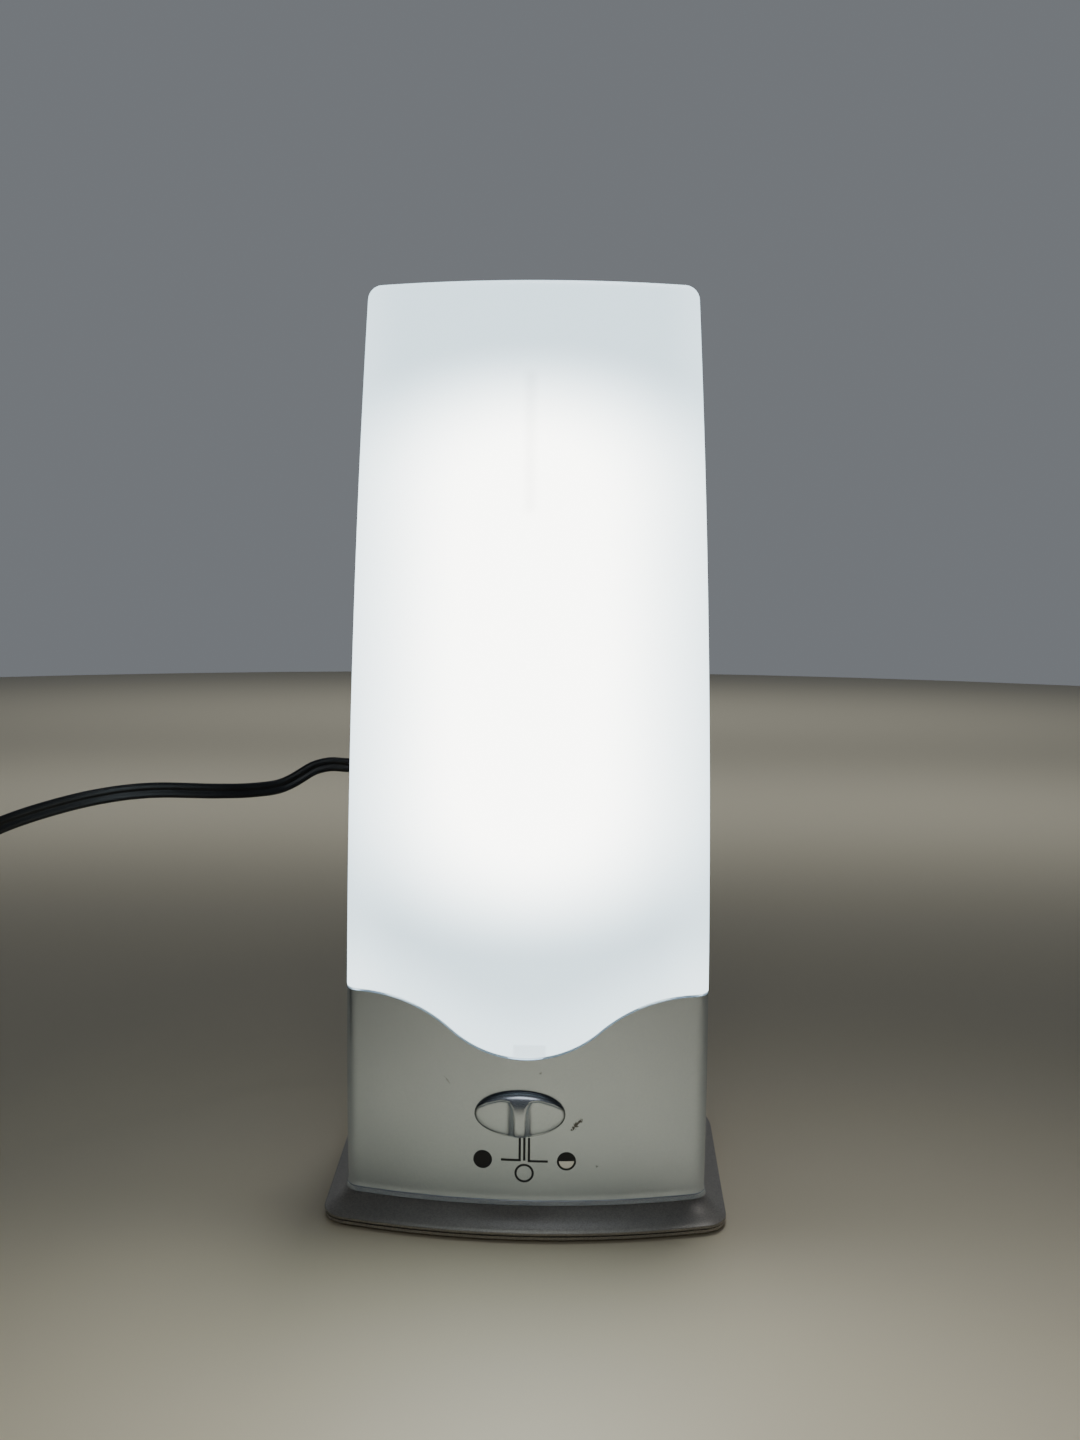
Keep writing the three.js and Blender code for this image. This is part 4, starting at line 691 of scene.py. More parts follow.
def plugBlade(make, at, side):
    x = at[0] + side * make["gap"] / 2
    holeY = at[1] + plugMake["cordPlay"] + plugMake["length"] + make["long"] - make["holeToTip"]
    half = make["tall"] / 2
    layers = []
    for thick, pull in make["layers"]:
        outer = []
        for c, s in circle(make["sides"], 0.5):
            ahead = make["holeToTip"] - pull if c > 0 else make["long"] + make["root"]
            reach = min(ahead / max(abs(c), 1e-6), (half - pull) / max(abs(s), 1e-6))
            y, z = c * reach, s * reach
            if c > 0:  # the tip's corners are cut off
                cut = make["corner"] * max(0, abs(z) - half + make["corner"]) / make["corner"]
                y = min(y, make["holeToTip"] - pull - cut)
            outer.append((x + thick * make["thick"] / 2, holeY + y, at[2] + z))
        layers.append(outer)
    for thick, radius in make["hole"]:
        layers.append([(x + thick * make["thick"] / 2, holeY + radius * c, at[2] + radius * s)
                       for c, s in circle(make["sides"], 0.5)])
    return closedBand([*layers, layers[0]])


plugPiece = rebuild("plug_body", plugBody(plugMake, plugAt), pvc)
blades = [rebuild(f"plug_blade_{n}", plugBlade(bladeMake, plugAt, side), brass)
          for n, side in ((1, -1), (2, 1))]


# A flat rubber band round all the turns at the side of the coil
def cordTie(make):
    outerRadius = make["coilMean"] + (make["thickness"] + make["turnGap"]) * make["turns"] / 4
    halfBand = outerRadius - make["coilMean"] + make["thickness"] / 2 + make["tieSlack"]
    halfTall = (2 * make["width"] + make["layerGap"]) / 2 + make["tieSlack"]
    middle = (make["coilMiddle"][1] + make["coilMean"], make["tieThickness"] + halfTall)
    x = make["coilMiddle"][0]
    half = make["tieWidth"] / 2
    left = [(pull - half, out) for pull, out in make["tieForm"]]
    right = [(half - pull, out) for pull, out in make["tieForm"][::-1]]
    rings = []
    for across, out in [*left, *right, left[0]]:
        ring = roundedRing(halfBand + out, halfTall + out, make["tieRound"] + out, 0, (0, 0), 9)
        rings.append([(x + across, middle[0] + a, middle[1] + b) for a, _, b in ring])
    return closedBand(rings)


tie = rebuild("cord_tie", cordTie(cordMake), rubber)
cordLong = float(np.linalg.norm(np.diff(cordLine, axis=0), axis=1).sum())
print("cord:", len(cordLine), "rings,", round(cordLong), "mm")

# Housing form: rows of points around it
bodyRise = housing["height"] - housing["foot"]
leanSlope = housing["lean"] / bodyRise
shoulder = housing["height"] - housing["roofRound"]
cells = {"front": 48, "corner": 8, "side": 6, "rear": 34, "roofEdge": 7, "roof": 10, "lip": 4}  # per curve


def climb(z):
    return (z - housing["foot"]) / bodyRise


def halfWidthAt(z):
    share = (z - housing["widest"]) / (housing["height"] - housing["widest"])
    return (housing["width"] - (housing["width"] - housing["topWidth"]) * share ** 2) / 2


def frontAt(z):
    return housing["front"] + housing["lean"] * climb(z) - 4 * housing["bulge"] * climb(z) * (1 - climb(z))


def rearAt(z):
    return housing["front"] + housing["depth"] - housing["taper"] * max(climb(z), 0) ** 2


# The seam between lens and panel: level at the sides, two curves down to a round tip
def seamAt(x):
    high, dip, tip, reach = (housing[part] for part in ("seam", "seamDip", "seamTip", "seamShoulder"))
    span = (reach ** 2 + dip ** 2) / (2 * dip)
    upper = span - tip
    x = abs(x)
    if x <= tip * reach / span:
        return high - dip + tip - math.sqrt(tip ** 2 - x * x)
    if x <= reach:
        return high - upper + math.sqrt(upper ** 2 - (reach - x) ** 2)
    return high


def skirtAt(z):
    return housing["skirt"] * max(0, 1 - (z - housing["foot"]) / housing["skirtTall"]) ** 2


# Half the width at a depth, from where the far corner begins on round its curve
def sideAt(z, inset, y):
    far = housing["farCorner"] - inset
    past = max(y - rearAt(z) + housing["farCorner"], 0)
    return halfWidthAt(z) - inset - far + math.sqrt(far ** 2 - past ** 2)


# Half of a bowed front, from its middle out and round the near corner
def bowedFront(form, halfWidth, front, inset, cornerSteps, steps=cells["front"]):
    near = max(form["nearCorner"] - inset, 0.3)
    radius = form["bow"] - inset
    centre = front + form["bow"]
    reach = math.asin((halfWidth - inset - near) / (radius - near))
    line = [(radius * math.sin(reach * i / steps), centre - radius * math.cos(reach * i / steps))
            for i in range(steps + 1)]
    cornerX = (radius - near) * math.sin(reach)
    cornerY = centre - (radius - near) * math.cos(reach)
    for i in range(1, cornerSteps + 1):
        turn = (reach - math.pi / 2) * (1 - i / cornerSteps)
        line.append((cornerX + near * math.cos(turn), cornerY + near * math.sin(turn)))
    return line, cornerY


def frontHalf(z, inset, cut):
    inset -= skirtAt(z)
    line, cornerY = bowedFront(housing, halfWidthAt(z), frontAt(z), inset, cells["corner"])
    for i in range(1, cells["side"] + 1):
        y = cornerY + (cut - cornerY) * i / cells["side"]
        line.append((sideAt(z, inset, y), y))
    return line


backLines = (30, 25, 20, 10, 0)  # the vents end at 30, the cord's hole lies between 20 and 30


# Half of the rear shell: evenly along the side and the far corner, then across the back
def rearHalf(z, inset, cut):
    inset -= skirtAt(z)
    far = housing["farCorner"] - inset
    back = rearAt(z) - inset
    straight = max(back - far - cut, 0)
    start = math.asin(max(cut - back + far, 0) / far)
    length = straight + far * (math.pi / 2 - start)
    line = []
    for i in range(cells["rear"] + 1):
        along = length * i / cells["rear"]
        turn = start + max(along - straight, 0) / far
        y = cut + along if along < straight else back - far + far * math.sin(turn)
        line.append((halfWidthAt(z) - inset - far + far * math.cos(turn), y))
    return line + [(x, back) for x in backLines]


def leanBack(x, y, z, height):
    return x, y, height - leanSlope * climb(z) * (y - frontAt(z))


# Rows over the rounded roof edge and on to the cut across the roof
def roofRows(half, cutShift, mirror):
    rows = []
    roof = housing["roofRound"]
    for i in range(1, cells["roofEdge"] + 1):
        turn = math.pi / 2 * i / cells["roofEdge"]
        height = shoulder + roof * math.sin(turn)
        cut = frontAt(height) + housing["split"] + cutShift
        line = mirror(half(shoulder, roof * (1 - math.cos(turn)), cut))
        rows.append([leanBack(x, y, shoulder, height) for x, y in line])
    side = abs(line[0][0])
    count = len(line)
    towards = 1 if line[-1][0] > line[0][0] else -1
    for i in range(1, cells["roof"] + 1):
        share = i / cells["roof"]
        row = []
        for j, (x, y) in enumerate(line):
            target = towards * side * (2 * j / (count - 1) - 1)
            row.append(leanBack(x + (target - x) * share, y + (cut - y) * share, shoulder, housing["height"]))
        rows.append(row)
    return rows


def mirrorFront(half):
    return [(-x, *rest) for x, *rest in half[:0:-1]] + half


def mirrorRear(half):
    return half + [(-x, y) for x, y in half[-2::-1]]


# A skin of cells made into a wall, with every free edge rounded over
def thickShell(grid, kept, lip):
    wall = housing["wall"]
    lipSteps = cells["lip"]
    grid = np.array(grid, float)
    points, faces = weld(grid.reshape(-1, 3), gridFaces(grid.shape[0], grid.shape[1], kept=kept))
    normals, corners = faceNormals(points, faces)
    middle = np.array((0, 0, housing["height"] / 2))
    if ((points[corners].mean(axis=1) - middle) * normals).sum() < 0:
        faces = [ring[::-1] for ring in faces]
    normals = vertexNormals(points, faces)
    edges = {(a, b) for ring in faces for a, b in zip(ring, ring[1:] + ring[:1])}
    follow = {a: b for a, b in sorted(edges) if (b, a) not in edges}
    count = len(points)
    outer = points.copy()
    inner = points - wall * normals
    extra = []
    skins = faces + [[k + count for k in ring[::-1]] for ring in faces]
    while follow:
        start = next(iter(follow))
        loop = [start]
        step = follow.pop(start)
        while step != start:
            loop.append(step)
            step = follow.pop(step)
        at, face = points[loop], normals[loop]
        ahead = unit(np.roll(at, -1, axis=0) - at)
        right = unit(np.cross(ahead, face))
        away = unit(right + np.roll(right, 1, axis=0))
        away /= np.maximum((away * right).sum(axis=1), 0.75)[:, None]
        outer[loop] -= lip * away
        inner[loop] -= lip * away
        rings = [loop]
        for i in range(1, 2 * lipSteps + 1):
            top = i <= lipSteps
            turn = math.pi / 2 * (i if top else i - lipSteps - 1) / lipSteps
            depth = lip if top else wall - lip
            bulge = (math.sin(turn), math.cos(turn)) if top else (math.cos(turn), -math.sin(turn))
            ring = at - lip * away - depth * face + lip * (bulge[0] * away + bulge[1] * face)
            rings.append([2 * count + len(extra) + k for k in range(len(loop))])
            extra += list(ring)
        rings.append([k + count for k in loop])
        for near, far in zip(rings, rings[1:]):
            for k in range(len(loop)):
                m = (k + 1) % len(loop)
                skins.append([near[m], near[k], far[k], far[m]])
    return outward(*weld(np.vstack([outer, inner, extra]), skins))


# The height of the seam at each point of a front row, found by stepping along the leaning face
def seamHeights(shift, cutShift):
    heights = []
    count = len(frontHalf(housing["seam"], 0, 0))
    for j in range(count):
        z = housing["seam"]
        for _ in range(6):
            x, y = frontHalf(z, 0, frontAt(z) + housing["split"] + cutShift)[j]
            z = seamAt(x) + shift + leanSlope * climb(z) * (y - frontAt(z))
        heights.append(z)
    return heights


def frontRow(heights, cutShift):
    half = []
    for j, z in enumerate(heights):
        x, y = frontHalf(z, 0, frontAt(z) + housing["split"] + cutShift)[j]
        half.append(leanBack(x, y, z, z))
    return mirrorFront(half)


# Lens: a bowed shell with a tongue behind the panel's tip and two hooks under the roof
lensMake = {
    "rows": 58, "lip": 0.85,
    "root": (13.7, 2.4, 6), "rootAt": (0.9, 3.6), "tongue": (13.7, 1.8, 13), "tongueAt": (1.2, -0.5),
    "hookSpread": 34, "hookBack": 5, "arm": (12, 10, 2.2), "armDrop": 2, "catch": (12, 4.7, 3.2),
    "catchAt": (2.8, 0.6),
}


def lensShape():
    shift = housing["line"] / 2
    low = seamHeights(shift, -shift)
    rows = lensMake["rows"]
    grid = [frontRow([z + (shoulder - z) * i / rows for z in low], -shift) for i in range(rows + 1)]
    grid += roofRows(frontHalf, -shift, mirrorFront)
    shell = thickShell(grid, None, lensMake["lip"])
    tip = housing["seam"] - housing["seamDip"]
    inside = frontAt(tip) + housing["wall"]
    fittings = [slab((0, inside + deep, tip + rise), lensMake[part])
                for part, (deep, rise) in (("root", lensMake["rootAt"]), ("tongue", lensMake["tongueAt"]))]
    rear = frontAt(housing["height"]) + housing["split"]
    roof = housing["height"] - housing["wall"] - leanSlope * (housing["split"] + lensMake["hookBack"])
    forward, drop = lensMake["catchAt"]
    for x in (-lensMake["hookSpread"], lensMake["hookSpread"]):
        fittings.append(slab((x, rear, roof - lensMake["armDrop"]), lensMake["arm"]))
        fittings.append(slab((x, rear - forward, roof - drop), lensMake["catch"]))
    return combine(shell, *fittings)


frontLens = rebuild("front_lens", lensShape(), opal, body="lens", bevel=0.2)
print("lens:", len(frontLens.data.polygons), "faces")

switch = {"height": 48.0, "travel": 1.95, "slotHalf": 3.75, "slotTall": 2.8, "ear": 17.0, "standoff": 5.0,
          "earPost": 3.7}
panelMake = {
    "lip": 0.18,
    "skirtRows": (0, 0.6, 1.2, 1.9), "plainFrom": 2.8, "plainRows": 14, "upperRows": (54.5, 58.2, 62.0),
    "topRows": 12,
}
boss = {"radius": 4.4, "clear": 0.3, "tall": 13.7, "wallOverlap": 1.2, "ribTall": 13.8}
footScrews = [(x, y) for x in (-62, 62) for y in (-34.5, 19.5)]


# A screw post that stands on the foot plate, with a rib to the side wall
def footBoss(x, y):
    floor = housing["foot"] + boss["clear"]
    reach = (halfWidthAt(housing["widest"]) - boss["wallOverlap"] - abs(x)) * (1 if x > 0 else -1)
    column = post((x, y, floor), (x, y, floor + boss["tall"]), boss["radius"])
    ribSize = (abs(reach), boss["radius"], boss["ribTall"])
    return combine(column, slab((x + reach / 2, y, floor + boss["ribTall"] / 2), ribSize))


def cellMiddles(grid):
    grid = np.array(grid)
    return (grid[:-1, :-1] + grid[1:, 1:]) / 2


def panelShape():
    shift = housing["line"] / 2
    bottom = housing["foot"]
    height, slotTall = switch["height"], switch["slotTall"]
    plain = np.linspace(bottom + panelMake["plainFrom"], height - slotTall, panelMake["plainRows"])
    flats = [*(bottom + rise for rise in panelMake["skirtRows"]), *plain, height, height + slotTall]
    flats += panelMake["upperRows"]
    tops = seamHeights(-shift, -shift)
    grid = [frontRow([z] * len(tops), -shift) for z in flats]
    last, rows = flats[-1], panelMake["topRows"]
    grid += [frontRow([last + (top - last) * i / rows for top in tops], -shift) for i in range(1, rows + 1)]
    middles = cellMiddles(grid)
    slot = np.abs(middles[..., 0]) < switch["slotHalf"]
    slot &= np.abs(middles[..., 2] - height) < slotTall
    inner = frontAt(height) + housing["wall"]
    posts = [post((side * switch["ear"], inner - 1, height),
                  (side * switch["ear"], inner + switch["standoff"] - 0.3, height), switch["earPost"])
             for side in (-1, 1)]
    bosses = [footBoss(x, y) for x, y in footScrews if y < -20]
    return combine(thickShell(grid, ~slot, panelMake["lip"]), *posts, *bosses)


frontPanel = rebuild("front_panel", panelShape(), panelSilver, bevel=0.2)

# Rear shell: vents, a hole for the cord, and posts for the board and the reflector
vents = {"halfWidth": 30.0, "tall": 3.0, "pitch": 7.0, "count": 6, "lowest": (262.0, 112.0)}
rearMake = {
    "lip": 0.42, "row": 8, "lastRow": 379.9, "postRadius": 4.4, "boardPostFrom": 31.5, "boardPostSunk": 1.8,
    "reflectorPostFrom": 40, "reflectorPostSunk": 1.1,
}
boardScrews = [(x, z) for x in (-49, 49) for z in (25, 83)]
reflectorScrews = [(x, z) for z in (122, 330) for x in (-43, 43)]
leanTurn = Matrix.Rotation(-math.atan(leanSlope), 4, "X")
lightBox = Matrix.Translation((0, housing["front"], housing["foot"])) @ leanTurn


def inLightBox(x, y, z):
    return tuple(lightBox @ Vector((x, y, z)))


def rearShape():
    shift = housing["line"] / 2
    slots = [low + vents["pitch"] * k for low in vents["lowest"] for k in range(vents["count"])]
    stops = {z + side * vents["tall"] / 2 for z in slots for side in (-1, 1)}
    cordHigh, reach = glandMake["height"], glandMake["hole"]
    stops |= {housing["foot"], cordHigh - reach, cordHigh + reach}
    stops = [*sorted(stops), rearMake["lastRow"]]
    levels = [stops[0]]
    for low, high in zip(stops, stops[1:]):
        pieces = max(1, round((high - low) / rearMake["row"]))
        levels += [low + (high - low) * k / pieces for k in range(1, pieces + 1)]
    heights = []
    for level in levels:
        z = level
        for _ in range(5):
            z = level + leanSlope * climb(z) * (rearAt(z) - frontAt(z))
        heights.append(z)
    heights[-1] = shoulder
    grid = []
    for z in heights:
        cut = frontAt(z) + housing["split"] + shift
        grid.append([leanBack(x, y, z, z) for x, y in mirrorRear(rearHalf(z, 0, cut))])
    grid += roofRows(rearHalf, shift, mirrorRear)
    middles = cellMiddles(grid)
    aside, high = middles[..., 0], middles[..., 2]
    holes = np.zeros(middles.shape[:2], bool)
    for z in slots:
        holes |= (np.abs(high - z) < vents["tall"] / 2) & (np.abs(aside) < vents["halfWidth"])
    holes |= (np.abs(high - cordHigh) < reach) & (np.abs(aside - glandMake["across"]) < reach)
    holes &= middles[..., 1] > 0
    shell = thickShell(grid, ~holes, rearMake["lip"])
    radius = rearMake["postRadius"]
    posts = [post((x, rearMake["boardPostFrom"], z), (x, rearAt(z) - rearMake["boardPostSunk"], z), radius)
             for x, z in boardScrews]
    for x, z in sorted(reflectorScrews):
        start = Vector(inLightBox(x, rearMake["reflectorPostFrom"], z))
        end = Vector((start.x, rearAt(start.z) - rearMake["reflectorPostSunk"], start.z))
        posts.append(post(start, end, radius))
    return combine(shell, *posts, *[footBoss(x, y) for x, y in footScrews if y > -20])


rearHousing = rebuild("rear_housing", rearShape(), silver, bevel=0.2)
print("housing:", len(frontPanel.data.polygons) + len(rearHousing.data.polygons), "faces")

# Foot: a rimmed cover that sweeps up to the housing, with a silver plate between them
foot = {
    "depth": 133.0, "width": 169.2, "spread": 5.5, "bow": 340.0, "nearCorner": 11.0, "farCorner": 38.0,
    "coverBottom": 2.9, "rimTop": 4.2, "coverTop": 8.3, "lip": 0.8, "edge": 0.35,
    "plateBottom": 8.36, "plateTop": 10.3, "plateSlope": 0.5, "plateEdges": (0.1, 0.3),
    "pocketWall": 4.0, "pocketRoof": 2.0,
    "shoulderShare": 0.16, "shoulderPower": 8, "sweepSteps": 32, "sweepCrowd": 1.6, "nearSteps": 12,
    "farSteps": 24,
    "line": ((0.35, -0.02), (0.45, -0.08), (0.55, -0.02)),  # the fine line inside the rim: inset and rise
}


def planOutline(form, halfWidth, front, rear, inset):
    far = form["farCorner"] - inset
    right, _ = bowedFront(form, halfWidth, front, inset, foot["nearSteps"])
    for i in range(foot["farSteps"] + 1):
        turn = math.pi / 2 * i / foot["farSteps"]
        x = halfWidth - inset - far + far * math.cos(turn)
        right.append((x, rear - inset - far + far * math.sin(turn)))
    return np.array([*right, *[(-x, y) for x, y in right[:0:-1]]])


def rimOutline(inset):
    depth = foot["depth"]
    outline = planOutline(foot, foot["width"] / 2, -depth / 2, depth / 2, inset)
    outline[:, 0] *= 1 + (2 * foot["spread"] / foot["width"]) * (outline[:, 1] + depth / 2) / depth
    return outline


def bodyOutline(inset):
    z = housing["foot"]
    return planOutline(housing, halfWidthAt(z), frontAt(z), rearAt(z), inset)


def level(outline, z):
    return np.column_stack([outline, np.full(len(outline), z)])


quarter = [(math.sin(math.pi / 2 * i / 4), math.cos(math.pi / 2 * i / 4)) for i in range(5)]


def baseShape():
    bottom, rimTop, edge = foot["coverBottom"], foot["rimTop"], foot["edge"]
    pocket = bodyOutline(foot["pocketWall"])
    rings = [level(pocket, foot["coverTop"] - foot["pocketRoof"]), level(pocket, bottom)]
    rings += [level(rimOutline(edge * (1 - s)), bottom + edge * (1 - c)) for s, c in quarter]
    rings += [level(rimOutline(edge * (1 - c)), rimTop - edge + edge * s) for s, c in quarter]
    rings += [level(rimOutline(inset), rimTop + rise) for inset, rise in foot["line"]]
    start = rimOutline(foot["line"][-1][0] + 0.1)
    top = bodyOutline(-foot["lip"])
    rolled = foot["shoulderShare"]
    for i in range(foot["sweepSteps"] + 1):
        share = (i / foot["sweepSteps"]) ** foot["sweepCrowd"]
        rise = rolled * (1 - (1 - share) ** foot["shoulderPower"]) + (1 - rolled) * share ** 2
        rings.append(level(start + (top - start) * share, rimTop + (foot["coverTop"] - rimTop) * rise))
    return closedLoft(rings)


def footPlateShape():
    low, high = foot["plateEdges"]
    rings = [level(bodyOutline(-foot["lip"] + low * (1 - s)), foot["plateBottom"] + low * (1 - c))
             for s, c in quarter]
    rings += [level(bodyOutline(-foot["lip"] + foot["plateSlope"] + high * (1 - s)),
                    foot["plateTop"] - high * (1 - c)) for s, c in quarter[::-1]]
    return closedLoft(rings)


pads = {"spread": (67.6, 49.5), "profile": [(5.6, 0), (6.1, 0.1), (6.45, 0.45), (6.5, 1.6)]}
rebuild("base_cover", baseShape(), graphite)
rebuild("foot_plate", footPlateShape(), silver)
padX, padY = pads["spread"]
for n, (x, y) in enumerate([(x, y) for y in (-padY, padY) for x in (-padX, padX)], 1):
    rebuild(f"foot_pad_{n}", turned(pads["profile"], (x, y, 0), (0, 0, 1), 48), rubber)

# Screws: a head with a sunk cross, then a threaded shank
screwMake = {
    "head": 3.0, "shank": 1.5, "headHeight": 1.1, "tip": 0.5, "crown": 0.3, "firstRing": 0.15,
    "sunkEdge": (0.12, 0.2), "roundEdge": (0.45, 1.1),  # from and to: the head's side
    "crossDeep": 0.8, "crossArm": (0.55, 0.2), "crossReach": (1.75, 0.35),  # half size and how softly it ends
    "pitch": 0.7, "thread": 0.25, "threadAt": (0.4, 0.75), "sides": 48, "headRings": 11,
}


def screwShape(base, axis, length, countersunk):
    make = screwMake
    head, shank, headHeight = make["head"], make["shank"], make["headHeight"]
    axis = np.array(axis, float) / np.linalg.norm(axis)
    aside = np.array((1.0, 0, 0)) if abs(axis[0]) < 0.9 else np.array((0, 1.0, 0))
    third = np.cross(axis, aside)
    (armHalf, armSoft), (reachHalf, reachSoft) = make["crossArm"], make["crossReach"]
    rings = []
    for k in range(make["headRings"] + 1):
        radius = make["firstRing"] + (head - 2 * make["firstRing"]) * k / make["headRings"]
        ring = []
        for c, s in circle(make["sides"]):
            a, b = radius * c, radius * s
            arm = min(1, max(0, (armHalf - min(abs(a), abs(b))) / armSoft))
            reach = min(1, max(0, (reachHalf - max(abs(a), abs(b))) / reachSoft))
            sunk = make["crossDeep"] * arm * reach
            crown = 0 if countersunk else make["crown"] * (radius / head) ** 2
            ring.append(np.array(base) + (sunk + crown) * axis + a * aside + b * third)
        rings.append(ring)
    profile = [(head, along) for along in (make["sunkEdge"] if countersunk else make["roundEdge"])]
    profile.append((shank, headHeight + 0.1))
    pitch = make["pitch"]
    valley, crest = make["threadAt"]
    for k in range(round((length - headHeight - 1) / pitch)):
        profile.append((shank - make["thread"], headHeight + valley + pitch * k))
        profile.append((shank, headHeight + crest + pitch * k))
    profile.append((make["tip"], length))
    around = [c * aside + s * third for c, s in circle(make["sides"])]
    for radius, along in profile:
        rings.append([np.array(base) + along * axis + radius * out for out in around])
    return closedLoft(rings)


# Where each kind of screw stands, and how long it is
screwPlaces = {
    "baseFrom": 1.3, "baseLength": 17.5, "reflectorFrom": 37.1, "reflectorLength": 9, "boardLength": 8,
    "switchSpread": 17, "switchLength": 6.3,
}


def addScrew(node, base, axis, length, countersunk=False):
    rebuild(node, screwShape(base, axis, length, countersunk), zinc)


for n, (x, y) in enumerate(footScrews, 1):
    addScrew(f"base_screw_{n}", (x, y, screwPlaces["baseFrom"]), (0, 0, 1), screwPlaces["baseLength"], True)
intoReflector = tuple(lightBox.to_3x3() @ Vector((0, 1, 0)))
for n, (x, z) in enumerate(reflectorScrews, 1):
    start = inLightBox(x, screwPlaces["reflectorFrom"], z)
    addScrew(f"reflector_screw_{n}", start, intoReflector, screwPlaces["reflectorLength"])
for n, (x, z) in enumerate(boardScrews, 1):
    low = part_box(f"board_screw_{n}")[0].y / mm
    addScrew(f"board_screw_{n}", (x, low, z), (0, 1, 0), screwPlaces["boardLength"])
for n, side in ((1, -1), (2, 1)):
    start = (side * screwPlaces["switchSpread"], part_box(f"switch_screw_{n}")[1].y / mm, switch["height"])
    addScrew(f"switch_screw_{n}", start, (0, -1, 0), screwPlaces["switchLength"])
print("foot and screws done")

# Slide switch cap: an oval dome, two scoops cut down to a floor, and the ridge between them
cap = {
    "halfWidth": 19.0, "halfTall": 9.8, "stand": 5.2, "gap": 0.5, "edge": 0.25, "floor": 1.35, "soft": 1.7,
    "dish": (1.2, 5.6), "fullness": 2.4, "rimRound": 10, "rings": 40, "sides": 128,
    "summit": -0.5,  # the dome's highest point, as a share of half its height
    # a scoop's outline in shares of the half sizes, from past the rim to the ridge and back outside
    "scoop": [(1.1, 0.12), (0.72, 0.5), (0.42, 0.66), (0.24, 0.62), (0.15, 0.35)],
    "ridge": 1.9, "ridgeTop": -0.2, "outside": 1.1,
    "stem": (3, 9.6, 5), "stemIn": 4.4,
}


# How deep a point lies inside an outline, or how far outside it, below zero
def insideBy(x, z, outline):
    best = 1e9
    inside = False
    for (ax, az), (bx, bz) in zip(outline, outline[1:] + outline[:1]):
        along = ((x - ax) * (bx - ax) + (z - az) * (bz - az)) / ((bx - ax) ** 2 + (bz - az) ** 2)
        along = min(max(along, 0), 1)
        best = min(best, math.hypot(x - ax - along * (bx - ax), z - az - along * (bz - az)))
        if (az > z) != (bz > z) and x < ax + (z - az) * (bx - ax) / (bz - az):
            inside = not inside
    return best if inside else -best


# How far a point of the unit disc lies from the summit, as a share of the way through it to the rim
def awayFromSummit(x, z):
    summit = cap["summit"]
    z -= summit
    room = 1 - summit ** 2
    return (summit * z + math.sqrt((summit * z) ** 2 + (x * x + z * z) * room)) / room


def panelFaceAt(x, z):
    return frontAt(z) + housing["bow"] - math.sqrt(housing["bow"] ** 2 - x * x)


def capShape():
    width, tall, full = cap["halfWidth"], cap["halfTall"], cap["fullness"]
    outline = [(x * width, z * tall) for x, z in cap["scoop"]]
    ridge, beyond = cap["ridge"], -cap["outside"] * tall
    outline += [(ridge, cap["ridgeTop"] * tall), (ridge, beyond), (cap["outside"] * width, beyond)]
    height = switch["height"]
    front = frontAt(height)
    shift = -switch["travel"]
    dishStart, dishEnd = cap["dish"]
    rings = []
    for k in range(1, cap["rings"] + 1):
        radius = math.sin(math.pi / 2 * k / cap["rings"])
        ring = []
        for c, s in circle(cap["sides"]):
            x, z = radius * width * c, radius * tall * s
            away = awayFromSummit(radius * c, radius * s)
            dome = cap["stand"] * max(1 - away ** full, 0) ** (1 / full)
            low = cap["floor"] * max(1 - radius ** cap["rimRound"], 0) ** 0.5
            scooped = eased(insideBy(abs(x), z, outline) / cap["soft"] + 0.5)
            scooped *= eased((abs(x) - dishStart) / (dishEnd - dishStart))
            stand = dome + scooped * (min(dome, low) - dome)
            limit = panelFaceAt(x + shift, height + z) - cap["gap"] - cap["edge"]
            ring.append((x + shift, min(front - stand, limit), height + z))
        rings.append(ring)
    rings.append([(x, panelFaceAt(x, z) - cap["gap"], z) for x, _, z in ring])
    return combine(closedLoft(rings), slab((shift, front + cap["stemIn"], height), cap["stem"]))


rebuild("switch_cap", capShape(), capSilverRimShaded, body="switch_slider", bevel=0.15)

# Switch signs: full light at the left, off in the middle, half light at the right
signs = {
    "stroke": 0.48, "ring": 3.6, "ringStroke": 0.46, "disc": 3.95, "paleDisc": 3.08,
    "proud": 0.05, "sunk": 0.03,
    "lines": [
        [(0, 37.6), (0, 27.7)],
        [(-1.9, 37.6), (-1.9, 27.8), (-5.8, 27.85), (-9.8, 27.9)],
        [(1.95, 37.6), (1.95, 27.5), (5.9, 27.45), (9.9, 27.4)],
    ],
    "off": (0, 22.2), "fullLight": (-17.5, 27.7), "halfLight": (17.7, 27.6), "paleHalf": (17.7, 27.5),
    "almostRound": (0, 352.5, 47),  # first and last degree, and steps, of a ring that then closes
}


# A flat line of ink on the panel's face, a hair proud of it
def ribbon(line, half, closed=False):
    line = np.array(line, float)
    ahead = np.roll(line, -1, axis=0) - line
    if not closed:
        ahead[-1] = ahead[-2]
    ahead = unit(ahead)
    before = np.roll(ahead, 1, axis=0)
    if not closed:
        before[0] = ahead[0]
    side = unit(ahead + before)
    side = np.column_stack([-side[:, 1], side[:, 0]])
    square = np.column_stack([-ahead[:, 1], ahead[:, 0]])
    side /= np.maximum((side * square).sum(axis=1), 0.5)[:, None]
    corners = []
    for sign, depth in ((1, -signs["proud"]), (-1, -signs["proud"]), (-1, signs["sunk"]), (1, signs["sunk"])):
        edge = line + sign * half * side
        corners.append([(x, panelFaceAt(x, z) + depth, z) for x, z in edge])
    rings = np.array(corners).transpose(1, 0, 2)
    return closedBand(np.concatenate([rings, rings[:1]])) if closed else closedLoft(rings)


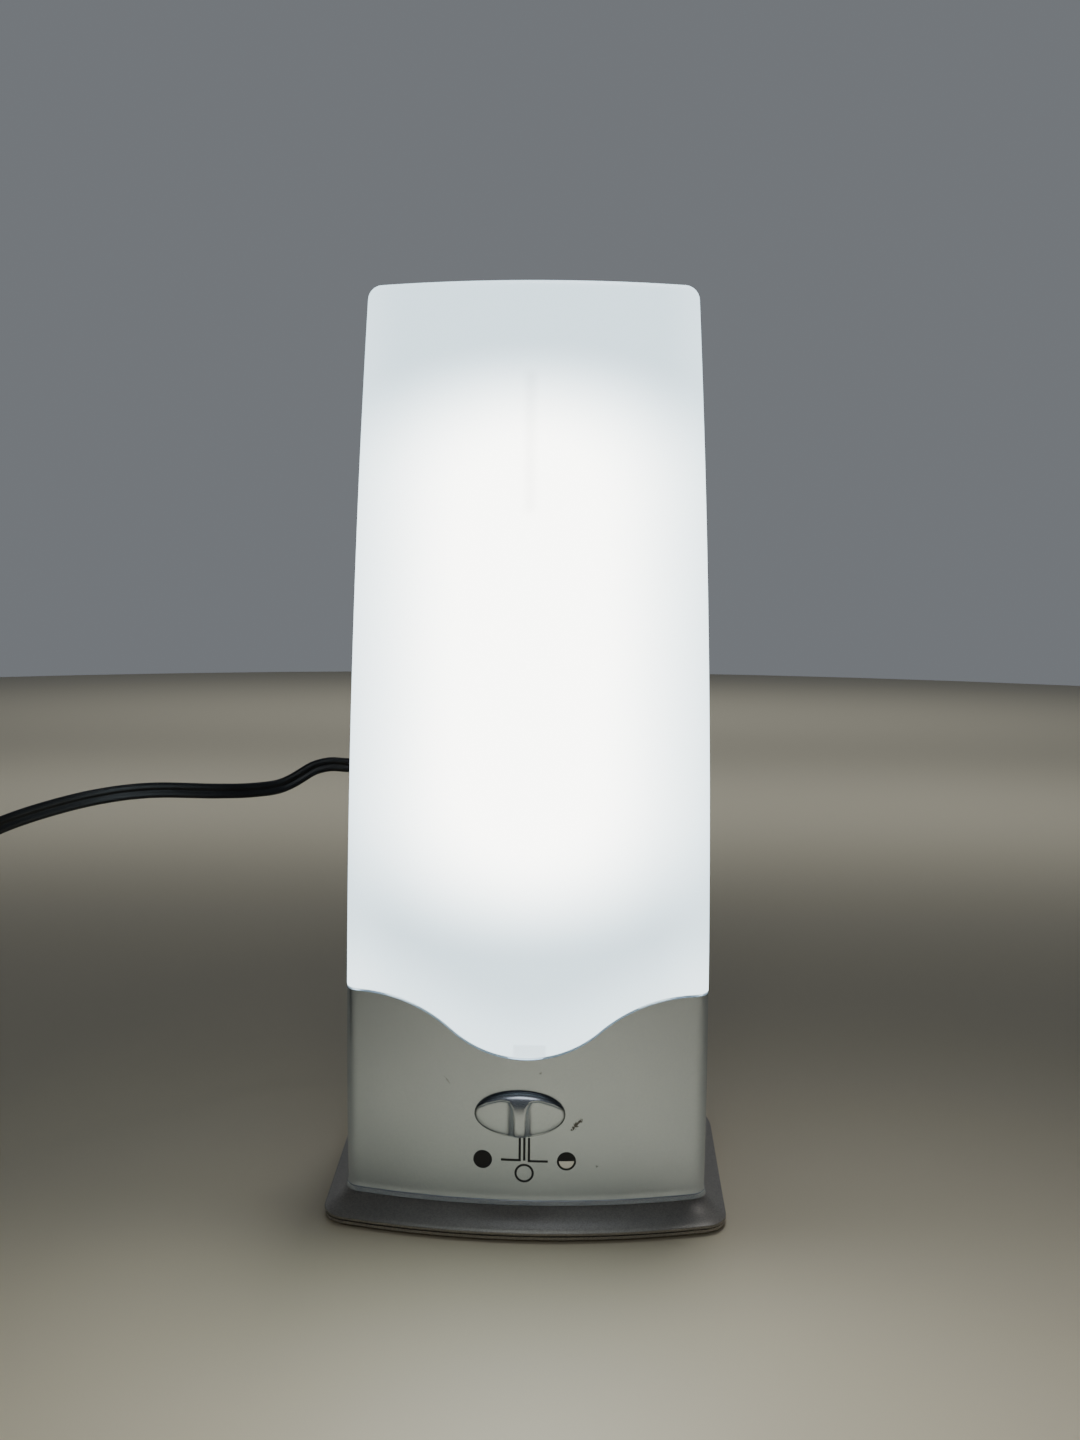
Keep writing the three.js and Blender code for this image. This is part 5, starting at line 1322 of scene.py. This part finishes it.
def arc(middle, radius, start, end, steps=48):
    turns = [math.radians(start + (end - start) * i / steps) for i in range(steps + 1)]
    return [(middle[0] + radius * math.cos(t), middle[1] + radius * math.sin(t)) for t in turns]


discRadius, paleRadius = signs["disc"] / 2, signs["paleDisc"] / 2
blackMarks = combine(
    *[ribbon(line, signs["stroke"]) for line in signs["lines"]],
    ribbon(arc(signs["off"], signs["ring"], *signs["almostRound"]), signs["ringStroke"], closed=True),
    ribbon(arc(signs["fullLight"], discRadius, *signs["almostRound"]), discRadius, closed=True),
    ribbon(arc(signs["halfLight"], discRadius, 0, 180), discRadius),
    ribbon(arc(signs["halfLight"], signs["ring"], 180, 360), signs["ringStroke"]),
)
paleMark = ribbon(arc(signs["paleHalf"], paleRadius, 180, 360), paleRadius)
addPiece("switchSigns", blackMarks, ink, smooth=False)
addPiece("switchSignPale", paleMark, paleInk, smooth=False)
print("switch cap and signs done")

# Behind the lens: the folded tube and the pieces that carry it
tube = {"radius": 8.5, "depth": 26.0, "inner": 12.5, "outer": 34.0, "top": 344.0, "low": 118.9, "sunk": 0.3,
        "bendSteps": 24, "sides": 28}


def tubeShape():
    bend = (tube["outer"] - tube["inner"]) / 2
    middle = (tube["outer"] + tube["inner"]) / 2
    top = tube["top"] - tube["radius"] - bend
    low = tube["low"] + tube["radius"] + tube["inner"]
    steps = tube["bendSteps"]
    line = [(-tube["outer"], tube["low"] + tube["sunk"])]
    bends = ((-middle, top, bend, 1), (0, low, tube["inner"], -1), (middle, top, bend, 1))
    for centre, height, radius, rise in bends:
        for i in range(steps + 1):
            x = centre + radius * math.cos(math.pi * (1 - i / steps))
            line.append((x, height + rise * radius * math.sin(math.pi * i / steps)))
    line.append((tube["outer"], tube["low"] + tube["sunk"]))
    line = np.array(line)
    rings = []
    for (x, z), (ax, az) in zip(line, unit(np.gradient(line, axis=0))):
        ring = []
        for c, s in circle(tube["sides"]):
            out = tube["radius"] * c
            ring.append(inLightBox(x + out * az, tube["depth"] + tube["radius"] * s, z - out * ax))
        rings.append(ring)
    return closedLoft(rings)


rebuild("fluorescent_tube", tubeShape(), litGlass)

# Solids that are carried over: their names, finish and edge radius in mm
carried = [
    (("lamp_base", "lampholder", "terminal_block"), pbt, 0.5),
    (("reflector",), enamel, 0.3),
    (("lamp_clip_1", "lamp_clip_2"), zinc, 0.12),
    (("base_weight",), zinc, 0.4),
    (("base_plate",), graphite, 0.25),
    (("ballast_board",), fibreBoard, 0.15),
    (("inductor_core",), sintered, 0.5),
    (("inductor_winding",), copperWire, 0.8),
    (("heat_sink",), aluminium, 0.3),
    (("switch_body",), nylon, 0.35),
    (("mains_lead", "lamp_lead", "switch_lead"), pvc, 0.2),
]
for names, material, bevel in carried:
    for name in names:
        dress(name, material, bevel)

# Capacitors: a can in a shrunk sleeve that leaves a cup open at one end and a groove near the other
capacitor = {
    "cup": ((0.72, 0.3), (0.78, 0)),  # share of the radius, depth
    "rim": 0.3, "rimDeep": 0.4,
    "groove": ((3, 0), (2.4, 0.5), (1.6, 0.5), (1, 0)),  # distance from the foot, depth
}


def capacitorShape(low, high):
    radius = (high.z - low.z) / 2 / mm
    front, rear = low.y / mm, high.y / mm
    can = [(radius * share, along) for share, along in capacitor["cup"]]
    can += [(radius - capacitor["rim"], 0), (radius, capacitor["rimDeep"])]
    can += [(radius - sunk, rear - front - back) for back, sunk in capacitor["groove"]]
    can.append((radius, rear - front))
    return turned(can, ((low.x + high.x) / 2 / mm, front, (low.z + high.z) / 2 / mm), (0, 1, 0))


for n in (1, 2):
    node = f"ballast_capacitor_{n}"
    rebuild(node, capacitorShape(*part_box(node)), shrinkSleeve)
print("inside done")

# Floor, light and the room behind. Places and sizes of the lights are in metres, power in watts
stage = {
    "floor": "E6DBBF", "sheen": 0.45, "floorRadius": 3.4, "floorSides": 64,
    "world": "A0A5AB", "room": 0.13, "wall": 0.36,
    "wallEnds": (-0.2, 0.8), "wallTop": (0.75, 0.45),  # shares of the way: to the wall, and up to its top
}
lights = {
    "softboxAbove": {"at": (0.15, 0.25, 1.6), "aim": (0.12, -0.38, 0), "size": (0.3, 0.3), "power": 0.34,
                     "colour": "FBFBFF", "spread": 33},
    "ceilingBounce": {"at": (0.05, -1.15, 1.2), "aim": (0, 0, 0), "size": (0.7, 0.3), "power": 0.35,
                      "colour": "FBFBFF", "spread": 90},
    "softboxBehind": {"at": (0, 0.75, 1.6), "aim": (0, 0.86, 0), "size": (2.0, 0.4), "power": 1.1,
                      "colour": "F6FBFF", "spread": 40},
    "softboxFar": {"at": (0, 1.9, 2.0), "aim": (0, 1.95, 0), "size": (2.8, 1.0), "power": 4.5,
                   "colour": "F6FBFF", "spread": 78},
}


def addFloor():
    data = bpy.data.meshes.new("floor")
    sides = stage["floorSides"]
    turns = np.linspace(0, 2 * math.pi, sides + 1)[:-1]
    corners = [(stage["floorRadius"] * math.cos(a), stage["floorRadius"] * math.sin(a), 0) for a in turns]
    data.from_pydata(corners, [], [list(range(sides))])
    floorPaint = bpy.data.materials.new("mattPaint")
    floorPaint.use_nodes = True
    shader = floorPaint.node_tree.nodes["Principled BSDF"]
    shader.inputs["Base Color"].default_value = fromHex(stage["floor"])
    shader.inputs["Roughness"].default_value = stage["sheen"]
    data.materials.append(floorPaint)
    floor = bpy.data.objects.new("floor", data)
    scene.collection.objects.link(floor)


def addLight(name, light):
    data = bpy.data.lights.new(name, "AREA")
    data.spread = math.radians(light["spread"])  # a honeycomb grid narrows a softbox
    data.shape = "RECTANGLE"
    data.size, data.size_y = light["size"]
    data.energy = light["power"]
    data.color = fromHex(light["colour"])[:3]
    lamp = bpy.data.objects.new(name, data)
    aim = Vector(light["aim"]) - Vector(light["at"])
    lamp.matrix_world = Matrix.Translation(light["at"]) @ aim.to_track_quat("-Z", "Y").to_matrix().to_4x4()
    scene.collection.objects.link(lamp)


# A dim room, with a paler wall behind the lamp that fades out upwards
def addRoom():
    world = bpy.data.worlds.new("room")
    scene.world = world
    world.use_nodes = True
    background = world.node_tree.nodes["Background"]
    background.inputs[0].default_value = fromHex(stage["world"])
    outlook = addNode(world, "TexCoord", {}).outputs["Generated"]
    axes = addNode(world, "SeparateXYZ", {}, {0: outlook})
    known = {"back": axes.outputs[1], "up": axes.outputs[2]}
    addSteps(world, known, [
        ("wall", "MapRange", stretchOf(stage["wallEnds"], 0.0, stage["wall"]), {"Value": "back"}),
        ("low", "MapRange", stretchOf(stage["wallTop"]), {"Value": "up"}),
        ("strength", "Math", {"operation": "MULTIPLY_ADD", 2: stage["room"]}, {0: "wall", 1: "low"}),
    ])
    world.node_tree.links.new(known["strength"], background.inputs[1])


addFloor()
for name, light in lights.items():
    addLight(name, light)
addRoom()
print("stage done")

bpy.context.view_layer.update()
